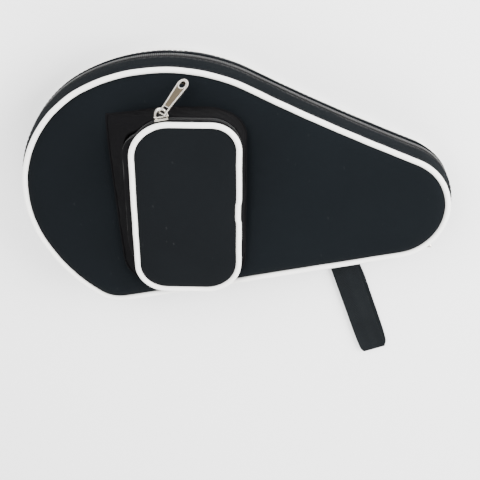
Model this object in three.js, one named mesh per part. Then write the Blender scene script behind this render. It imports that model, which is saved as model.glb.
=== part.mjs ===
// Padded case for a table-tennis bat, lying on its back with its pocket up.
// Millimetres, +Z up. X runs along the straight fabric hinge towards the handle tip, and the
// origin is the centre of the round nose, on the table.
import * as THREE from 'three';

// ---- Driving dimensions: plan outline, measured at the centre of the piping ----
const noseRadius = 85.5;           // left end of the blade
const topFlankRadius = 120;        // far side of the blade
const neckRadius = 1600;           // shallow hollow between blade and tip
const tipRadius = 38;              // handle end
const tipX = 165;                  // centre of the handle end
const hingeY = -81;                // straight hinge side
const lowFlankRadius = 118;        // near side of the blade
const cornerRadius = 25;           // between the blade and the hinge side
const noseStart = radians(105.5);
const noseEnd = radians(194);

// ---- Driving dimensions: depth and layers ----
const backSeamZ = 2.6;             // back seam above the table
const halfDepth = 19.4;            // either seam to the closed zipper
const bulge = 4.6;                 // zipper outside the piping
const clearance = 0.3;             // between pieces that touch
const pipingRadius = 1.9;
const panelInset = pipingRadius + 0.4;    // clear of the piping, whose sides are flat
const panelRise = 2;               // front panel's face above its seam
const panelRimRadius = 1.2;        // round of a panel's edge
const gussetThickness = 2.5;
const liningThickness = 0.8;
const bindingWidth = 4;
const bindingThickness = 0.9;
const coilWidth = 1.5;             // one side of the coil
const coilThickness = 1.7;
const tapeWidth = 3;               // tape that shows beside the coil
const tapeThickness = 1;
const tapeRecess = 1.1;            // tape below the top of the coil
const stopLength = 3;

// ---- Driving dimensions: pocket ----
const pocketHalfWidth = 35.6;
const pocketHalfLength = 66.5;
const highRightRadius = 18.5;      // pocket corners
const highLeftRadius = 26;
const lowLeftRadius = 20;
const lowRightRadius = 23;
const pocketX = 26.2;
const pocketY = -10;
const pocketTurn = radians(-11.5);
const pocketTopHeight = 26;        // piping centre above the front seam, zipped end
const pocketBottomHeight = 11.5;   // the same at the pocket's hinge
const pocketLeanTop = 17;          // how far the left foot spreads, zipped end
const pocketLeanBottom = 7;
const pocketZipRise = 1;           // the zipper's ends above the pocket's low corners
const pocketSpreadRight = 2;
const pocketPanelThickness = 2;
const pocketWall = 1.6;
const pocketStrip = 1.4;           // fabric strip under the piping
const pocketCoil = 1;
const pocketTape = 1.2;
const pocketTapeRecess = 0.7;

// ---- Driving dimensions: sliders, pulls and strap ----
const sliderLength = 9;
const sliderWidth = 7.2;
const sliderPlate = 1.4;
const sliderGap = 0.45;            // plate above the coil
const flangeWidth = 0.9;
const crownSpan = 8;
const crownRise = 5.2;
const crownWire = 0.7;             // radius
const tabLength = 28;
const tabNarrow = 6;
const tabWide = 8.4;
const tabThickness = 1.2;
const tabSlotLength = 4.7;
const tabSlotWidth = 4;
const tabSlotEdge = 0.9;           // metal left beyond the slot
const tabHoleRadius = 2.5;
const mainSliderAngle = radians(-64);    // around the handle end
const pocketSliderAngle = radians(100);  // around the pocket's high left corner
// A pull hangs from its crown at a share of the way along the wire, and is twisted on its length.
const pocketPullShare = 0.25;
const pocketPullTwist = radians(51);
const pocketPullDirection = new THREE.Vector3(0.67, 0.535, -0.515);
const mainPullShare = 0.5;
const mainPullTwist = radians(-10);
const mainPullDirection = new THREE.Vector3(-0.51, -0.36, -0.78);
const strapX = 121;
const strapSwing = radians(8.4);
const strapLength = 102;
const strapWidth = 20;
const strapStandOff = 1.2;         // from the back piping, so that the strap can fold up
const webbing = 1.5;
const strapGap = 0.5;              // between the loop's two layers
const bartackLength = 3;
const bartackHeight = 0.6;
const bartackInset = 1;            // from either edge of the webbing
const bartackPlace = 7;            // its middle, from the strap's root

// ---- Derived sizes ----
const ridgeZ = backSeamZ + halfDepth;
const frontSeamZ = ridgeZ + halfDepth;
const gussetNear = clearance / 2 + coilWidth + clearance + tapeWidth + clearance;
const gussetFar = halfDepth - pipingRadius - clearance;
const panelInner = gussetFar + clearance;
const frontFaceZ = frontSeamZ + panelRise;
// The pocket's zipper ends just above its low corners, on both sides.
const pocketHingeY = Math.max(lowLeftRadius, lowRightRadius) - pocketHalfLength + pocketZipRise;

const model = new THREE.Group();

function radians(degrees) {
  return degrees * Math.PI / 180;
}

function finish(colour, roughness, metalness = 0) {
  return new THREE.MeshStandardMaterial({ color: colour, roughness, metalness });
}

const shellCloth = finish(0x1d2022, 0.9);
const pocketCloth = finish(0x232425, 0.9);
const liningCloth = finish(0x26282a, 0.85);
const pipingCoat = finish(0xf2f0ea, 0.6);
const tapeCloth = finish(0x141516, 0.85);
const nylon = finish(0x1b1c1d, 0.5);
const nickel = finish(0xc9c5bb, 0.22, 1);
const strapWeb = finish(0x27292b, 0.8);
const thread = finish(0x101112, 0.9);

function addPiece(name, geometry, material, parent = model) {
  const mesh = new THREE.Mesh(geometry, material);
  mesh.name = name;
  parent.add(mesh);
  return mesh;
}

// ---- Outline of the case: arcs that meet smoothly, counter-clockwise from the handle end ----

function angleOf(from, to) {
  return Math.atan2(to.y - from.y, to.x - from.x);
}

function unwrapped(angle) {
  return angle < 0 ? angle + 2 * Math.PI : angle;
}

function polar(centre, radius, angle) {
  return new THREE.Vector2(centre.x + radius * Math.cos(angle), centre.y + radius * Math.sin(angle));
}

// The centre of a circle that touches two others from outside, on the left of the line a to b.
function outsideTangentCentre(a, radiusA, b, radiusB) {
  const d = a.distanceTo(b);
  const along = (radiusA * radiusA - radiusB * radiusB + d * d) / (2 * d);
  const across = Math.sqrt(radiusA * radiusA - along * along);
  const unit = b.clone().sub(a).divideScalar(d);
  const left = new THREE.Vector2(-unit.y, unit.x);
  return a.clone().addScaledVector(unit, along).addScaledVector(left, across);
}

const noseCentre = new THREE.Vector2(0, 0);
const topCentre = polar(noseCentre, noseRadius - topFlankRadius, noseStart);
const lowCentre = polar(noseCentre, noseRadius - lowFlankRadius, noseEnd);
const tipCentre = new THREE.Vector2(tipX, hingeY + tipRadius);
const neckCentre = outsideTangentCentre(
  topCentre, topFlankRadius + neckRadius, tipCentre, tipRadius + neckRadius,
);
const neckStart = unwrapped(angleOf(neckCentre, tipCentre));
const neckEnd = unwrapped(angleOf(neckCentre, topCentre));
const cornerY = hingeY + cornerRadius;
const cornerReach = Math.sqrt((lowFlankRadius - cornerRadius) ** 2 - (cornerY - lowCentre.y) ** 2);
const cornerCentre = new THREE.Vector2(lowCentre.x - cornerReach, cornerY);
const cornerStart = unwrapped(angleOf(lowCentre, cornerCentre));

// Each arc: centre, radius, first and last angle, steps, and -1 where the outline is hollow.
// The steps keep every flat within 0.3 mm of its arc.
const caseArcs = [
  [tipCentre, tipRadius, -Math.PI / 2, angleOf(tipCentre, neckCentre), 14, 1],
  [neckCentre, neckRadius, neckStart, neckEnd, 3, -1],
  [topCentre, topFlankRadius, angleOf(topCentre, neckCentre), noseStart, 7, 1],
  [noseCentre, noseRadius, noseStart, noseEnd, 12, 1],
  [lowCentre, lowFlankRadius, noseEnd, cornerStart, 5, 1],
  [cornerCentre, cornerRadius, cornerStart, 1.5 * Math.PI, 5, 1],
];

// A station is a point of an outline with the direction of travel there.
function station(x, y, angle) {
  const tangent = new THREE.Vector3(Math.cos(angle), Math.sin(angle), 0);
  return { point: new THREE.Vector3(x, y, 0), tangent };
}

function arcStations(arcs) {
  const stations = [];
  for (const [centre, radius, first, last, steps, sense] of arcs) {
    const start = stations.length ? 1 : 0;
    for (let i = start; i <= steps; i += 1) {
      const angle = first + (last - first) * i / steps;
      const p = polar(centre, radius, angle);
      stations.push(station(p.x, p.y, angle + sense * Math.PI / 2));
    }
  }
  return stations;
}

// The stations shortened by a length at either end, kept on their own straight steps.
function trimmed(stations, atStart, atEnd) {
  const kept = stations.slice();
  for (const [length, end] of [[atStart, 0], [atEnd, 1]]) {
    let left = length;
    while (left > 0) {
      const a = kept[end ? kept.length - 1 : 0];
      const b = kept[end ? kept.length - 2 : 1];
      const step = a.point.distanceTo(b.point);
      if (end) kept.pop();
      else kept.shift();
      if (step > left) {
        const moved = {
          point: a.point.clone().lerp(b.point, left / step),
          tangent: a.tangent.clone().lerp(b.tangent, left / step).normalize(),
        };
        if (end) kept.push(moved);
        else kept.unshift(moved);
      }
      left -= step;
    }
  }
  return kept;
}

// The first stretch of a run of stations, of the given length.
function firstStretch(stations, length) {
  return trimmed(stations, 0, runLength(stations) - length);
}

function lastStretch(stations, length) {
  return trimmed(stations, runLength(stations) - length, 0);
}

function runLength(stations) {
  let total = 0;
  for (let i = 1; i < stations.length; i += 1) {
    total += stations[i].point.distanceTo(stations[i - 1].point);
  }
  return total;
}

function offsetPoints(stations, offset) {
  return stations.map(({ point, tangent }) => (
    new THREE.Vector2(point.x + offset * tangent.y, point.y - offset * tangent.x)
  ));
}

class StationPath extends THREE.Curve {
  constructor(stations) {
    super();
    this.stations = stations;
  }

  at(u) {
    return this.stations[Math.round(u * (this.stations.length - 1))];
  }

  getPoint(u, target = new THREE.Vector3()) {
    return target.copy(this.at(u).point);
  }

  getPointAt(u, target) {
    return this.getPoint(u, target);
  }

  getTangentAt(u, target = new THREE.Vector3()) {
    return target.copy(this.at(u).tangent);
  }
}

// Sweeps a closed section along the stations. Section points are (outward offset, height).
function sweep(section, stations) {
  const shape = new THREE.Shape(section.map(([outward, z]) => new THREE.Vector2(-z, -outward)));
  return new THREE.ExtrudeGeometry(shape, {
    steps: stations.length - 1,
    bevelEnabled: false,
    extrudePath: new StationPath(stations),
  });
}

function circleSection(radius, outward, z, sides = 8) {
  const points = [];
  for (let i = 0; i < sides; i += 1) {
    const angle = 2 * Math.PI * (i + 0.5) / sides;
    points.push([outward + radius * Math.cos(angle), z + radius * Math.sin(angle)]);
  }
  return points;
}

// ---- Shell pieces, made alike for the back half (side -1) and the front half (side +1) ----

const zipStations = arcStations(caseArcs);
const hingeStations = [
  station(cornerCentre.x, hingeY, 0),
  station(tipX, hingeY, 0),
];

// The piping's one butt joint is half way along the hinge side.
const jointX = (cornerCentre.x + tipX) / 2;
const pipingStations = [
  station(jointX + clearance / 2, hingeY, 0),
  ...zipStations,
  station(jointX - clearance / 2, hingeY, 0),
];

function wallOffset(q) {
  return bulge * (1 - (q / halfDepth) ** 2);
}

// A section between two distances from the zipper, q0 and q1, that follows the wall's bulge.
function wallSection(side, q0, q1, depth0, depth1, steps = 1) {
  const outer = [];
  const inner = [];
  for (let i = 0; i <= steps; i += 1) {
    const q = q0 + (q1 - q0) * i / steps;
    outer.push([wallOffset(q) - depth0, ridgeZ + side * q]);
    inner.unshift([wallOffset(q) - depth1, ridgeZ + side * q]);
  }
  return outer.concat(inner);
}

function flatSection(side, q0, q1, outward0, outward1) {
  const z0 = ridgeZ + side * q0;
  const z1 = ridgeZ + side * q1;
  return [[outward0, z0], [outward1, z0], [outward1, z1], [outward0, z1]];
}

// A plate inside the outline, from height z0 to z1, with its rim rounded on the outer face.
function plate(inset, z0, z1, roundRim) {
  const shape = new THREE.Shape(offsetPoints(zipStations, -inset));
  const rim = roundRim ? Math.min(panelRimRadius, (z1 - z0) / 3) : 0;
  const options = {
    depth: z1 - z0 - 2 * rim,
    bevelEnabled: roundRim,
    bevelThickness: rim,
    bevelSize: rim,
    bevelOffset: -rim,
    bevelSegments: 2,
  };
  const geometry = new THREE.ExtrudeGeometry(shape, options);
  geometry.translate(0, 0, z0 + rim);
  return geometry;
}

function addShell(side, label, gussetLabel, outerFaceZ) {
  const seamZ = ridgeZ + side * halfDepth;
  const innerFaceZ = ridgeZ + side * panelInner;
  const liningNear = ridgeZ + side * (panelInner - clearance - liningThickness);
  const liningFar = ridgeZ + side * (panelInner - clearance);
  const coilNear = clearance / 2;
  const coilFar = coilNear + coilWidth;
  const tapeNear = coilFar + clearance;
  const tapeFar = tapeNear + tapeWidth;
  const bindingDepth = gussetThickness + clearance;
  const coilRun = trimmed(zipStations, stopLength + 2 * clearance, stopLength + 2 * clearance);
  const clothRun = trimmed(zipStations, clearance, clearance);
  const coilSection = flatSection(side, coilNear, coilFar, bulge - coilThickness, bulge);
  const tapeTop = bulge - tapeRecess;
  const tapeSection = flatSection(side, tapeNear, tapeFar, tapeTop - tapeThickness, tapeTop);
  const gussetSection = wallSection(side, gussetNear, gussetFar, 0, gussetThickness, 3);
  const hingeSection = wallSection(side, clearance / 2, gussetFar, 0, gussetThickness, 3);
  const bindingSection = wallSection(
    side, gussetFar - bindingWidth, gussetFar, bindingDepth, bindingDepth + bindingThickness,
  );
  const zLow = Math.min(innerFaceZ, outerFaceZ);
  const zHigh = Math.max(innerFaceZ, outerFaceZ);
  const liningInset = pipingRadius + bindingDepth + bindingThickness;
  addPiece(`${label}_panel`, plate(panelInset, zLow, zHigh, true), shellCloth);
  addPiece(
    `${label}_lining`,
    plate(liningInset, Math.min(liningNear, liningFar), Math.max(liningNear, liningFar), false),
    liningCloth,
  );
  const pipingSection = circleSection(pipingRadius, 0, seamZ);
  addPiece(`${label}_piping`, sweep(pipingSection, pipingStations), pipingCoat);
  addPiece(`${gussetLabel}_gusset`, sweep(gussetSection, clothRun), shellCloth);
  addPiece(`zipper_tape_${gussetLabel}`, sweep(tapeSection, clothRun), tapeCloth);
  addPiece(`zipper_coil_${gussetLabel}`, sweep(coilSection, coilRun), nylon);
  addPiece(`hinge_gusset_${gussetLabel}`, sweep(hingeSection, hingeStations), shellCloth);
  addPiece(`seam_binding_${gussetLabel}`, sweep(bindingSection, clothRun), tapeCloth);
}

addShell(-1, 'back', 'rear', 0);
addShell(1, 'front', 'front', frontFaceZ);

// The zipper's two end stops are crimped on the back tape.
const stopSection = flatSection(-1, clearance / 2, clearance / 2 + coilWidth, bulge - coilThickness, bulge);
const stopRun = trimmed(zipStations, clearance, clearance);
addPiece('zipper_stop_tip', sweep(stopSection, firstStretch(stopRun, stopLength)), nickel);
addPiece('zipper_stop_corner', sweep(stopSection, lastStretch(stopRun, stopLength)), nickel);

// ---- Pocket: a tilted front plane hinged at its low edge, on a wall that spreads to the left ----

const pocketSlope = Math.asin((pocketTopHeight - pocketBottomHeight) / (2 * pocketHalfLength));
const pocketMiddleZ = frontSeamZ + (pocketTopHeight + pocketBottomHeight) / 2;
const pocketYaw = new THREE.Group();
pocketYaw.position.set(pocketX, pocketY, 0);
pocketYaw.rotation.z = pocketTurn;
const pocketPlane = new THREE.Group();
pocketPlane.position.z = pocketMiddleZ;
pocketPlane.rotation.x = pocketSlope;
pocketYaw.add(pocketPlane);
model.add(pocketYaw);

// Stations run counter-clockwise from the middle of the right side, where the piping is joined.
function pocketStations() {
  const right = pocketHalfWidth;
  const top = pocketHalfLength;
  const corners = [
    [right - highRightRadius, top - highRightRadius, highRightRadius, 0],
    [highLeftRadius - right, top - highLeftRadius, highLeftRadius, 0.5],
    [lowLeftRadius - right, lowLeftRadius - top, lowLeftRadius, 1],
    [right - lowRightRadius, lowRightRadius - top, lowRightRadius, 1.5],
  ];
  const stations = [station(right, clearance / 2, Math.PI / 2)];
  for (const [x, y, radius, turn] of corners) {
    const first = turn * Math.PI;
    const centre = new THREE.Vector2(x, y);
    stations.push(...arcStations([[centre, radius, first, first + Math.PI / 2, 5, 1]]));
  }
  stations.push(station(right, -clearance / 2, Math.PI / 2));
  return stations;
}

const pocketLoop = pocketStations();

// Splits the loop where it crosses pocketHingeY: the zipped stretch above it, the hinge below it.
function pocketStretch(zipped) {
  const onLeft = station(-pocketHalfWidth, pocketHingeY, -Math.PI / 2);
  const onRight = station(pocketHalfWidth, pocketHingeY, Math.PI / 2);
  if (zipped) return [onRight, ...pocketLoop.filter((s) => s.point.y > pocketHingeY), onLeft];
  return [onLeft, ...pocketLoop.filter((s) => s.point.y < pocketHingeY), onRight];
}

// The zipped stretch starts on the right and has no joint, so the joint's two stations drop out.
function withoutJoint(stations) {
  return stations.filter((s) => Math.abs(s.point.y) > clearance);
}

const pocketZipRun = trimmed(withoutJoint(pocketStretch(true)), clearance, clearance);
const pocketHingeRun = pocketStretch(false);

function ringShape(stations, outward0, outward1) {
  const shape = new THREE.Shape(offsetPoints(stations, outward0));
  shape.holes.push(new THREE.Path(offsetPoints(stations, outward1)));
  return shape;
}

function box4(outward0, outward1, z0, z1) {
  return [[outward0, z0], [outward1, z0], [outward1, z1], [outward0, z1]];
}

const stripTop = -pipingRadius - clearance;
const stripBottom = stripTop - pocketStrip;
const coilUpperTop = stripBottom - clearance;
const pocketSplit = coilUpperTop - pocketCoil - clearance / 2;
const coilLowerTop = pocketSplit - clearance / 2;
const tapeLowerTop = coilLowerTop - pocketCoil - clearance;
const pocketWallTop = tapeLowerTop - pocketTape - clearance;
const pocketOuter = pipingRadius;
const coilInner = pocketOuter - pocketWall;

function pocketPlate(z0, z1) {
  const shape = new THREE.Shape(offsetPoints(withoutJoint(pocketLoop), -panelInset));
  const geometry = new THREE.ExtrudeGeometry(shape, { depth: z1 - z0, bevelEnabled: false });
  geometry.translate(0, 0, z0);
  return geometry;
}

function pocketRing(z0, z1) {
  const shape = ringShape(withoutJoint(pocketLoop), pocketOuter, pocketOuter - pocketWall);
  const geometry = new THREE.ExtrudeGeometry(shape, { depth: z1 - z0, bevelEnabled: false });
  geometry.translate(0, 0, z0);
  return geometry;
}

// The lower wall runs from the tilted plane down to the front panel, spreading as it goes.
function pocketLowerWall() {
  const geometry = pocketRing(0, 1);
  const position = geometry.getAttribute('position');
  const footZ = frontFaceZ + clearance;
  const point = new THREE.Vector3();
  const tilt = new THREE.Matrix4().makeRotationX(pocketSlope).setPosition(0, 0, pocketMiddleZ);
  for (let i = 0; i < position.count; i += 1) {
    point.fromBufferAttribute(position, i);
    const up = point.z;
    const across = (point.x + pocketHalfWidth) / (2 * pocketHalfWidth);
    const along = (point.y + pocketHalfLength) / (2 * pocketHalfLength);
    const lean = pocketLeanBottom + (pocketLeanTop - pocketLeanBottom) * along;
    const spread = pocketSpreadRight * across - lean * (1 - across);
    const head = new THREE.Vector3(point.x, point.y, pocketWallTop).applyMatrix4(tilt);
    const foot = new THREE.Vector3(point.x + spread, head.y, footZ);
    foot.lerp(head, up);
    position.setXYZ(i, foot.x, foot.y, foot.z);
  }
  return geometry;
}

function addPocket(name, geometry, material) {
  addPiece(`pocket_${name}`, geometry, material, pocketPlane);
}

// A band of the pocket's wall, between two heights below the piping's centre.
function pocketBand(outer, z0, z1, run) {
  return sweep(box4(coilInner, outer, z0, z1), run);
}

const halfPanel = pocketPanelThickness / 2;
const pocketLiningTop = -halfPanel - clearance;
addPocket('panel', pocketPlate(-halfPanel, halfPanel), pocketCloth);
addPocket('lining', pocketPlate(pocketLiningTop - liningThickness, pocketLiningTop), liningCloth);
addPocket('piping', sweep(circleSection(pipingRadius, 0, 0), pocketLoop), pipingCoat);
addPocket('lid_gusset', pocketRing(stripBottom, stripTop), pocketCloth);

const upperBottom = coilUpperTop - pocketCoil;
const lowerBottom = coilLowerTop - pocketCoil;
const tapeBottom = tapeLowerTop - pocketTape;
const tapeOuter = pocketOuter - pocketTapeRecess;
const lowerCoilRun = trimmed(pocketZipRun, stopLength, stopLength);
addPocket('coil_upper', pocketBand(pocketOuter, upperBottom, coilUpperTop, pocketZipRun), nylon);
addPocket('coil_lower', pocketBand(pocketOuter, lowerBottom, coilLowerTop, lowerCoilRun), nylon);
addPocket('tape_lower', pocketBand(tapeOuter, tapeBottom, tapeLowerTop, pocketZipRun), tapeCloth);
addPocket('hinge_upper', pocketBand(pocketOuter, upperBottom, coilUpperTop, pocketHingeRun), pocketCloth);
addPocket('hinge_lower', pocketBand(pocketOuter, tapeBottom, coilLowerTop, pocketHingeRun), pocketCloth);
addPiece('pocket_gusset', pocketLowerWall(), pocketCloth, pocketYaw);

const stopStretch = stopLength - clearance;
const rightStop = firstStretch(pocketZipRun, stopStretch);
const leftStop = lastStretch(pocketZipRun, stopStretch);
addPocket('stop_right', pocketBand(pocketOuter, lowerBottom, coilLowerTop, rightStop), nickel);
addPocket('stop_left', pocketBand(pocketOuter, lowerBottom, coilLowerTop, leftStop), nickel);

// ---- Sliders: a plate over both coils with one flange on the side it rides on ----
// Slider coordinates: x along the zipper, y outwards from the coil's face, z across the zipper.

function sliderBody(highReach, flangeDrop, flangeReach) {
  const shape = new THREE.Shape([
    new THREE.Vector2(sliderGap, -sliderWidth / 2),
    new THREE.Vector2(sliderGap + sliderPlate, -sliderWidth / 2),
    new THREE.Vector2(sliderGap + sliderPlate, highReach),
    new THREE.Vector2(sliderGap, highReach),
    new THREE.Vector2(sliderGap, -flangeReach + flangeWidth),
    new THREE.Vector2(-flangeDrop, -flangeReach + flangeWidth),
    new THREE.Vector2(-flangeDrop, -flangeReach),
    new THREE.Vector2(sliderGap, -flangeReach),
  ]);
  const geometry = new THREE.ExtrudeGeometry(shape, { depth: sliderLength, bevelEnabled: false });
  geometry.translate(0, 0, -sliderLength / 2);
  // Extruded along z; turn so that the extrusion runs along x, and the shape's axes are y and z.
  geometry.applyMatrix4(new THREE.Matrix4().set(0, 0, 1, 0, 1, 0, 0, 0, 0, 1, 0, 0, 0, 0, 0, 1));
  return geometry;
}

// The crown is a half-ellipse of wire standing on the plate, in the plane z = 0.
class CrownPath extends THREE.Curve {
  getPoint(u, target = new THREE.Vector3()) {
    const angle = Math.PI * u;
    const x = crownSpan / 2 * Math.cos(angle);
    return target.set(x, sliderGap + sliderPlate + clearance + crownRise * Math.sin(angle), 0);
  }
}

function sliderCrown() {
  const points = circleSection(crownWire, 0, 0, 6).map(([x, y]) => new THREE.Vector2(x, y));
  return new THREE.ExtrudeGeometry(new THREE.Shape(points), {
    steps: 12,
    bevelEnabled: false,
    extrudePath: new CrownPath(),
  });
}

// The tab lies along +X from the middle of its slot, with its face in the plane z = 0.
function pullTab() {
  const shape = new THREE.Shape();
  const slotEnd = tabSlotLength / 2 + tabSlotEdge;
  const wideCentre = tabLength - slotEnd - tabWide / 2;
  shape.moveTo(-slotEnd, -tabNarrow / 2);
  shape.lineTo(slotEnd, -tabNarrow / 2);
  shape.lineTo(wideCentre, -tabWide / 2);
  shape.absarc(wideCentre, 0, tabWide / 2, -Math.PI / 2, Math.PI / 2, false);
  shape.lineTo(slotEnd, tabNarrow / 2);
  shape.lineTo(-slotEnd, tabNarrow / 2);
  const slot = new THREE.Path([
    new THREE.Vector2(-tabSlotLength / 2, -tabSlotWidth / 2),
    new THREE.Vector2(-tabSlotLength / 2, tabSlotWidth / 2),
    new THREE.Vector2(tabSlotLength / 2, tabSlotWidth / 2),
    new THREE.Vector2(tabSlotLength / 2, -tabSlotWidth / 2),
  ]);
  const hole = new THREE.Path();
  hole.absarc(wideCentre, 0, tabHoleRadius, 0, 2 * Math.PI, true);
  shape.holes.push(slot, hole);
  const options = { depth: tabThickness, bevelEnabled: false, curveSegments: 8 };
  const geometry = new THREE.ExtrudeGeometry(shape, options);
  geometry.translate(0, 0, -tabThickness / 2);
  return geometry;
}

// Turns a tab so that it points along `along`, and twists it about its length.
function poseTab(mesh, at, along, twist) {
  const x = along.clone().normalize();
  const level = new THREE.Vector3(-x.y, x.x, 0).normalize();
  const up = new THREE.Vector3().crossVectors(x, level);
  const y = level.multiplyScalar(Math.cos(twist)).addScaledVector(up, -Math.sin(twist));
  const z = new THREE.Vector3().crossVectors(x, y);
  mesh.position.copy(at);
  mesh.quaternion.setFromRotationMatrix(new THREE.Matrix4().makeBasis(x, y, z));
}

// The crown stands on the middle of the plate, whose high edge is at highReach.
function crownHeight(highReach) {
  return (highReach - sliderWidth / 2) / 2;
}

function addSlider(name, parent, highReach, flangeDrop, flangeReach) {
  addPiece(`${name}_slider_body`, sliderBody(highReach, flangeDrop, flangeReach), nickel, parent);
  const crown = addPiece(`${name}_slider_crown`, sliderCrown(), nickel, parent);
  crown.position.z = crownHeight(highReach);
}

const mainFrame = new THREE.Group();
const mainSpot = polar(tipCentre, tipRadius + bulge, mainSliderAngle);
mainFrame.position.set(mainSpot.x, mainSpot.y, ridgeZ);
mainFrame.rotation.z = mainSliderAngle - Math.PI / 2;
model.add(mainFrame);
// The main slider's plate stops at the ridge, so that the lid's coil can swing out past it.
const mainHighReach = 0;
const mainTapeTop = clearance / 2 + coilWidth + clearance;
addSlider(
  'main', mainFrame, mainHighReach,
  tapeRecess - 2 * clearance, mainTapeTop + flangeWidth + clearance / 2,
);

const pocketSliderFrame = new THREE.Group();
const sliderCorner = new THREE.Vector2(
  highLeftRadius - pocketHalfWidth, pocketHalfLength - highLeftRadius,
);
const pocketSpot = polar(sliderCorner, highLeftRadius + pocketOuter, pocketSliderAngle);
pocketSliderFrame.position.set(pocketSpot.x, pocketSpot.y, pocketSplit);
pocketSliderFrame.rotation.z = pocketSliderAngle - Math.PI / 2;
pocketPlane.add(pocketSliderFrame);
const pocketTapeTop = clearance / 2 + pocketCoil + clearance;
addSlider(
  'pocket', pocketSliderFrame, sliderWidth / 2,
  pocketTapeRecess - 2 * clearance, pocketTapeTop + flangeWidth + clearance / 2,
);

model.updateMatrixWorld(true);

function addPull(name, frame, highReach, share, along, twist) {
  const point = new CrownPath().getPoint(share);
  point.z = crownHeight(highReach);
  const tab = addPiece(`${name}_pull_tab`, pullTab(), nickel);
  poseTab(tab, point.applyMatrix4(frame.matrixWorld), along, twist);
}

addPull(
  'pocket', pocketSliderFrame, sliderWidth / 2,
  pocketPullShare, pocketPullDirection, pocketPullTwist,
);
addPull('main', mainFrame, mainHighReach, mainPullShare, mainPullDirection, mainPullTwist);

// ---- Wrist strap: webbing folded into a loop, lying flat on the table ----

const strapFrame = new THREE.Group();
const strapRootY = hingeY - pipingRadius - strapStandOff - strapWidth / 2 * Math.sin(strapSwing);
strapFrame.position.set(strapX, strapRootY, 0);
strapFrame.rotation.z = strapSwing - Math.PI / 2;
model.add(strapFrame);

function strapLoop() {
  const outerRadius = webbing + strapGap / 2;
  const fold = strapLength - outerRadius;
  const shape = new THREE.Shape();
  shape.moveTo(0, 0);
  shape.lineTo(fold, 0);
  shape.absarc(fold, outerRadius, outerRadius, -Math.PI / 2, Math.PI / 2, false);
  shape.lineTo(0, 2 * outerRadius);
  shape.lineTo(0, outerRadius + strapGap / 2);
  shape.lineTo(fold, outerRadius + strapGap / 2);
  shape.absarc(fold, outerRadius, strapGap / 2, Math.PI / 2, -Math.PI / 2, true);
  shape.lineTo(0, outerRadius - strapGap / 2);
  const options = { depth: strapWidth, bevelEnabled: false, curveSegments: 8 };
  const geometry = new THREE.ExtrudeGeometry(shape, options);
  geometry.translate(0, 0, -strapWidth / 2);
  geometry.rotateX(Math.PI / 2);
  return geometry;
}

addPiece('wrist_strap', strapLoop(), strapWeb, strapFrame);
const bartack = new THREE.BoxGeometry(bartackLength, strapWidth - 2 * bartackInset, bartackHeight);
bartack.translate(bartackPlace, 0, 2 * webbing + strapGap + clearance + bartackHeight / 2);
addPiece('strap_bartack', bartack, thread, strapFrame);

export default model;
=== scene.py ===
"""Looks of a padded paddle case: fabric panels, piping, zippers, pocket, pulls and wrist strap."""

import math

import bmesh
import bpy
import numpy as np
from mathutils import Matrix, Vector, kdtree, noise


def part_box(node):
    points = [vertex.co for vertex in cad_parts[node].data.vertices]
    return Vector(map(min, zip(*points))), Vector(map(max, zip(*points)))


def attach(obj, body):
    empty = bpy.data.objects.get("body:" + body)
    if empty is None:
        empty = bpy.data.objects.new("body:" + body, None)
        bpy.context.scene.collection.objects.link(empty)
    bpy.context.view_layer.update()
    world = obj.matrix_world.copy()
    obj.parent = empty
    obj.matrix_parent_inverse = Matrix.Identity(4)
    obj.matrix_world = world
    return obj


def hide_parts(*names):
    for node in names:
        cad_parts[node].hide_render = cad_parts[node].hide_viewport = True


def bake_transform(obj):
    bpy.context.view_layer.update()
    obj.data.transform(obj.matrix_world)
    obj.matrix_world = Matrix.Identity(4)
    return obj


bl_info = {
    "name": "Paddle Case",
    "version": (1, 0, 0),
    "blender": (4, 5, 0),
    "location": "View3D > Sidebar > Paddle Case",
    "description": "Builds the fabric, trim and metal of a padded paddle case round its frame",
    "category": "Object",
}

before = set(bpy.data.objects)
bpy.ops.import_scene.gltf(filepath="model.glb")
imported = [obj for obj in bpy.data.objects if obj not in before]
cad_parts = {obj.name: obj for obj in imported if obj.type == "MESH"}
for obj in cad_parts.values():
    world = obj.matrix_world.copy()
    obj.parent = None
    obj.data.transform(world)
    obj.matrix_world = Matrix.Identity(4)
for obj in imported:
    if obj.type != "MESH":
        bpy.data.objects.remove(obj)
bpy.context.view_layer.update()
MM = 0.001


def middle_height(node):
    low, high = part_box(node)
    return (low.z + high.z) / 2


# Heights come from the frame: the seams at the middle of each piping, and the zipper between them.
BACK_SEAM = middle_height("back_piping")
FRONT_SEAM = middle_height("front_piping")
RIDGE = (BACK_SEAM + FRONT_SEAM) / 2
HALF_DEPTH = (FRONT_SEAM - BACK_SEAM) / 2
FRONT_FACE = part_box("front_panel")[1].z


# ---- Settings a user may change ----


def length(name, description, millimetres):
    return bpy.props.FloatProperty(
        name=name, description=description, default=millimetres * MM, subtype="DISTANCE", unit="LENGTH"
    )


def turn(name, description, degrees):
    return bpy.props.FloatProperty(
        name=name, description=description, default=math.radians(degrees), subtype="ANGLE", unit="ROTATION"
    )


def colour(name, description, red, green, blue):
    return bpy.props.FloatVectorProperty(
        name=name, description=description, default=(red, green, blue), subtype="COLOR", min=0, max=1
    )


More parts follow.
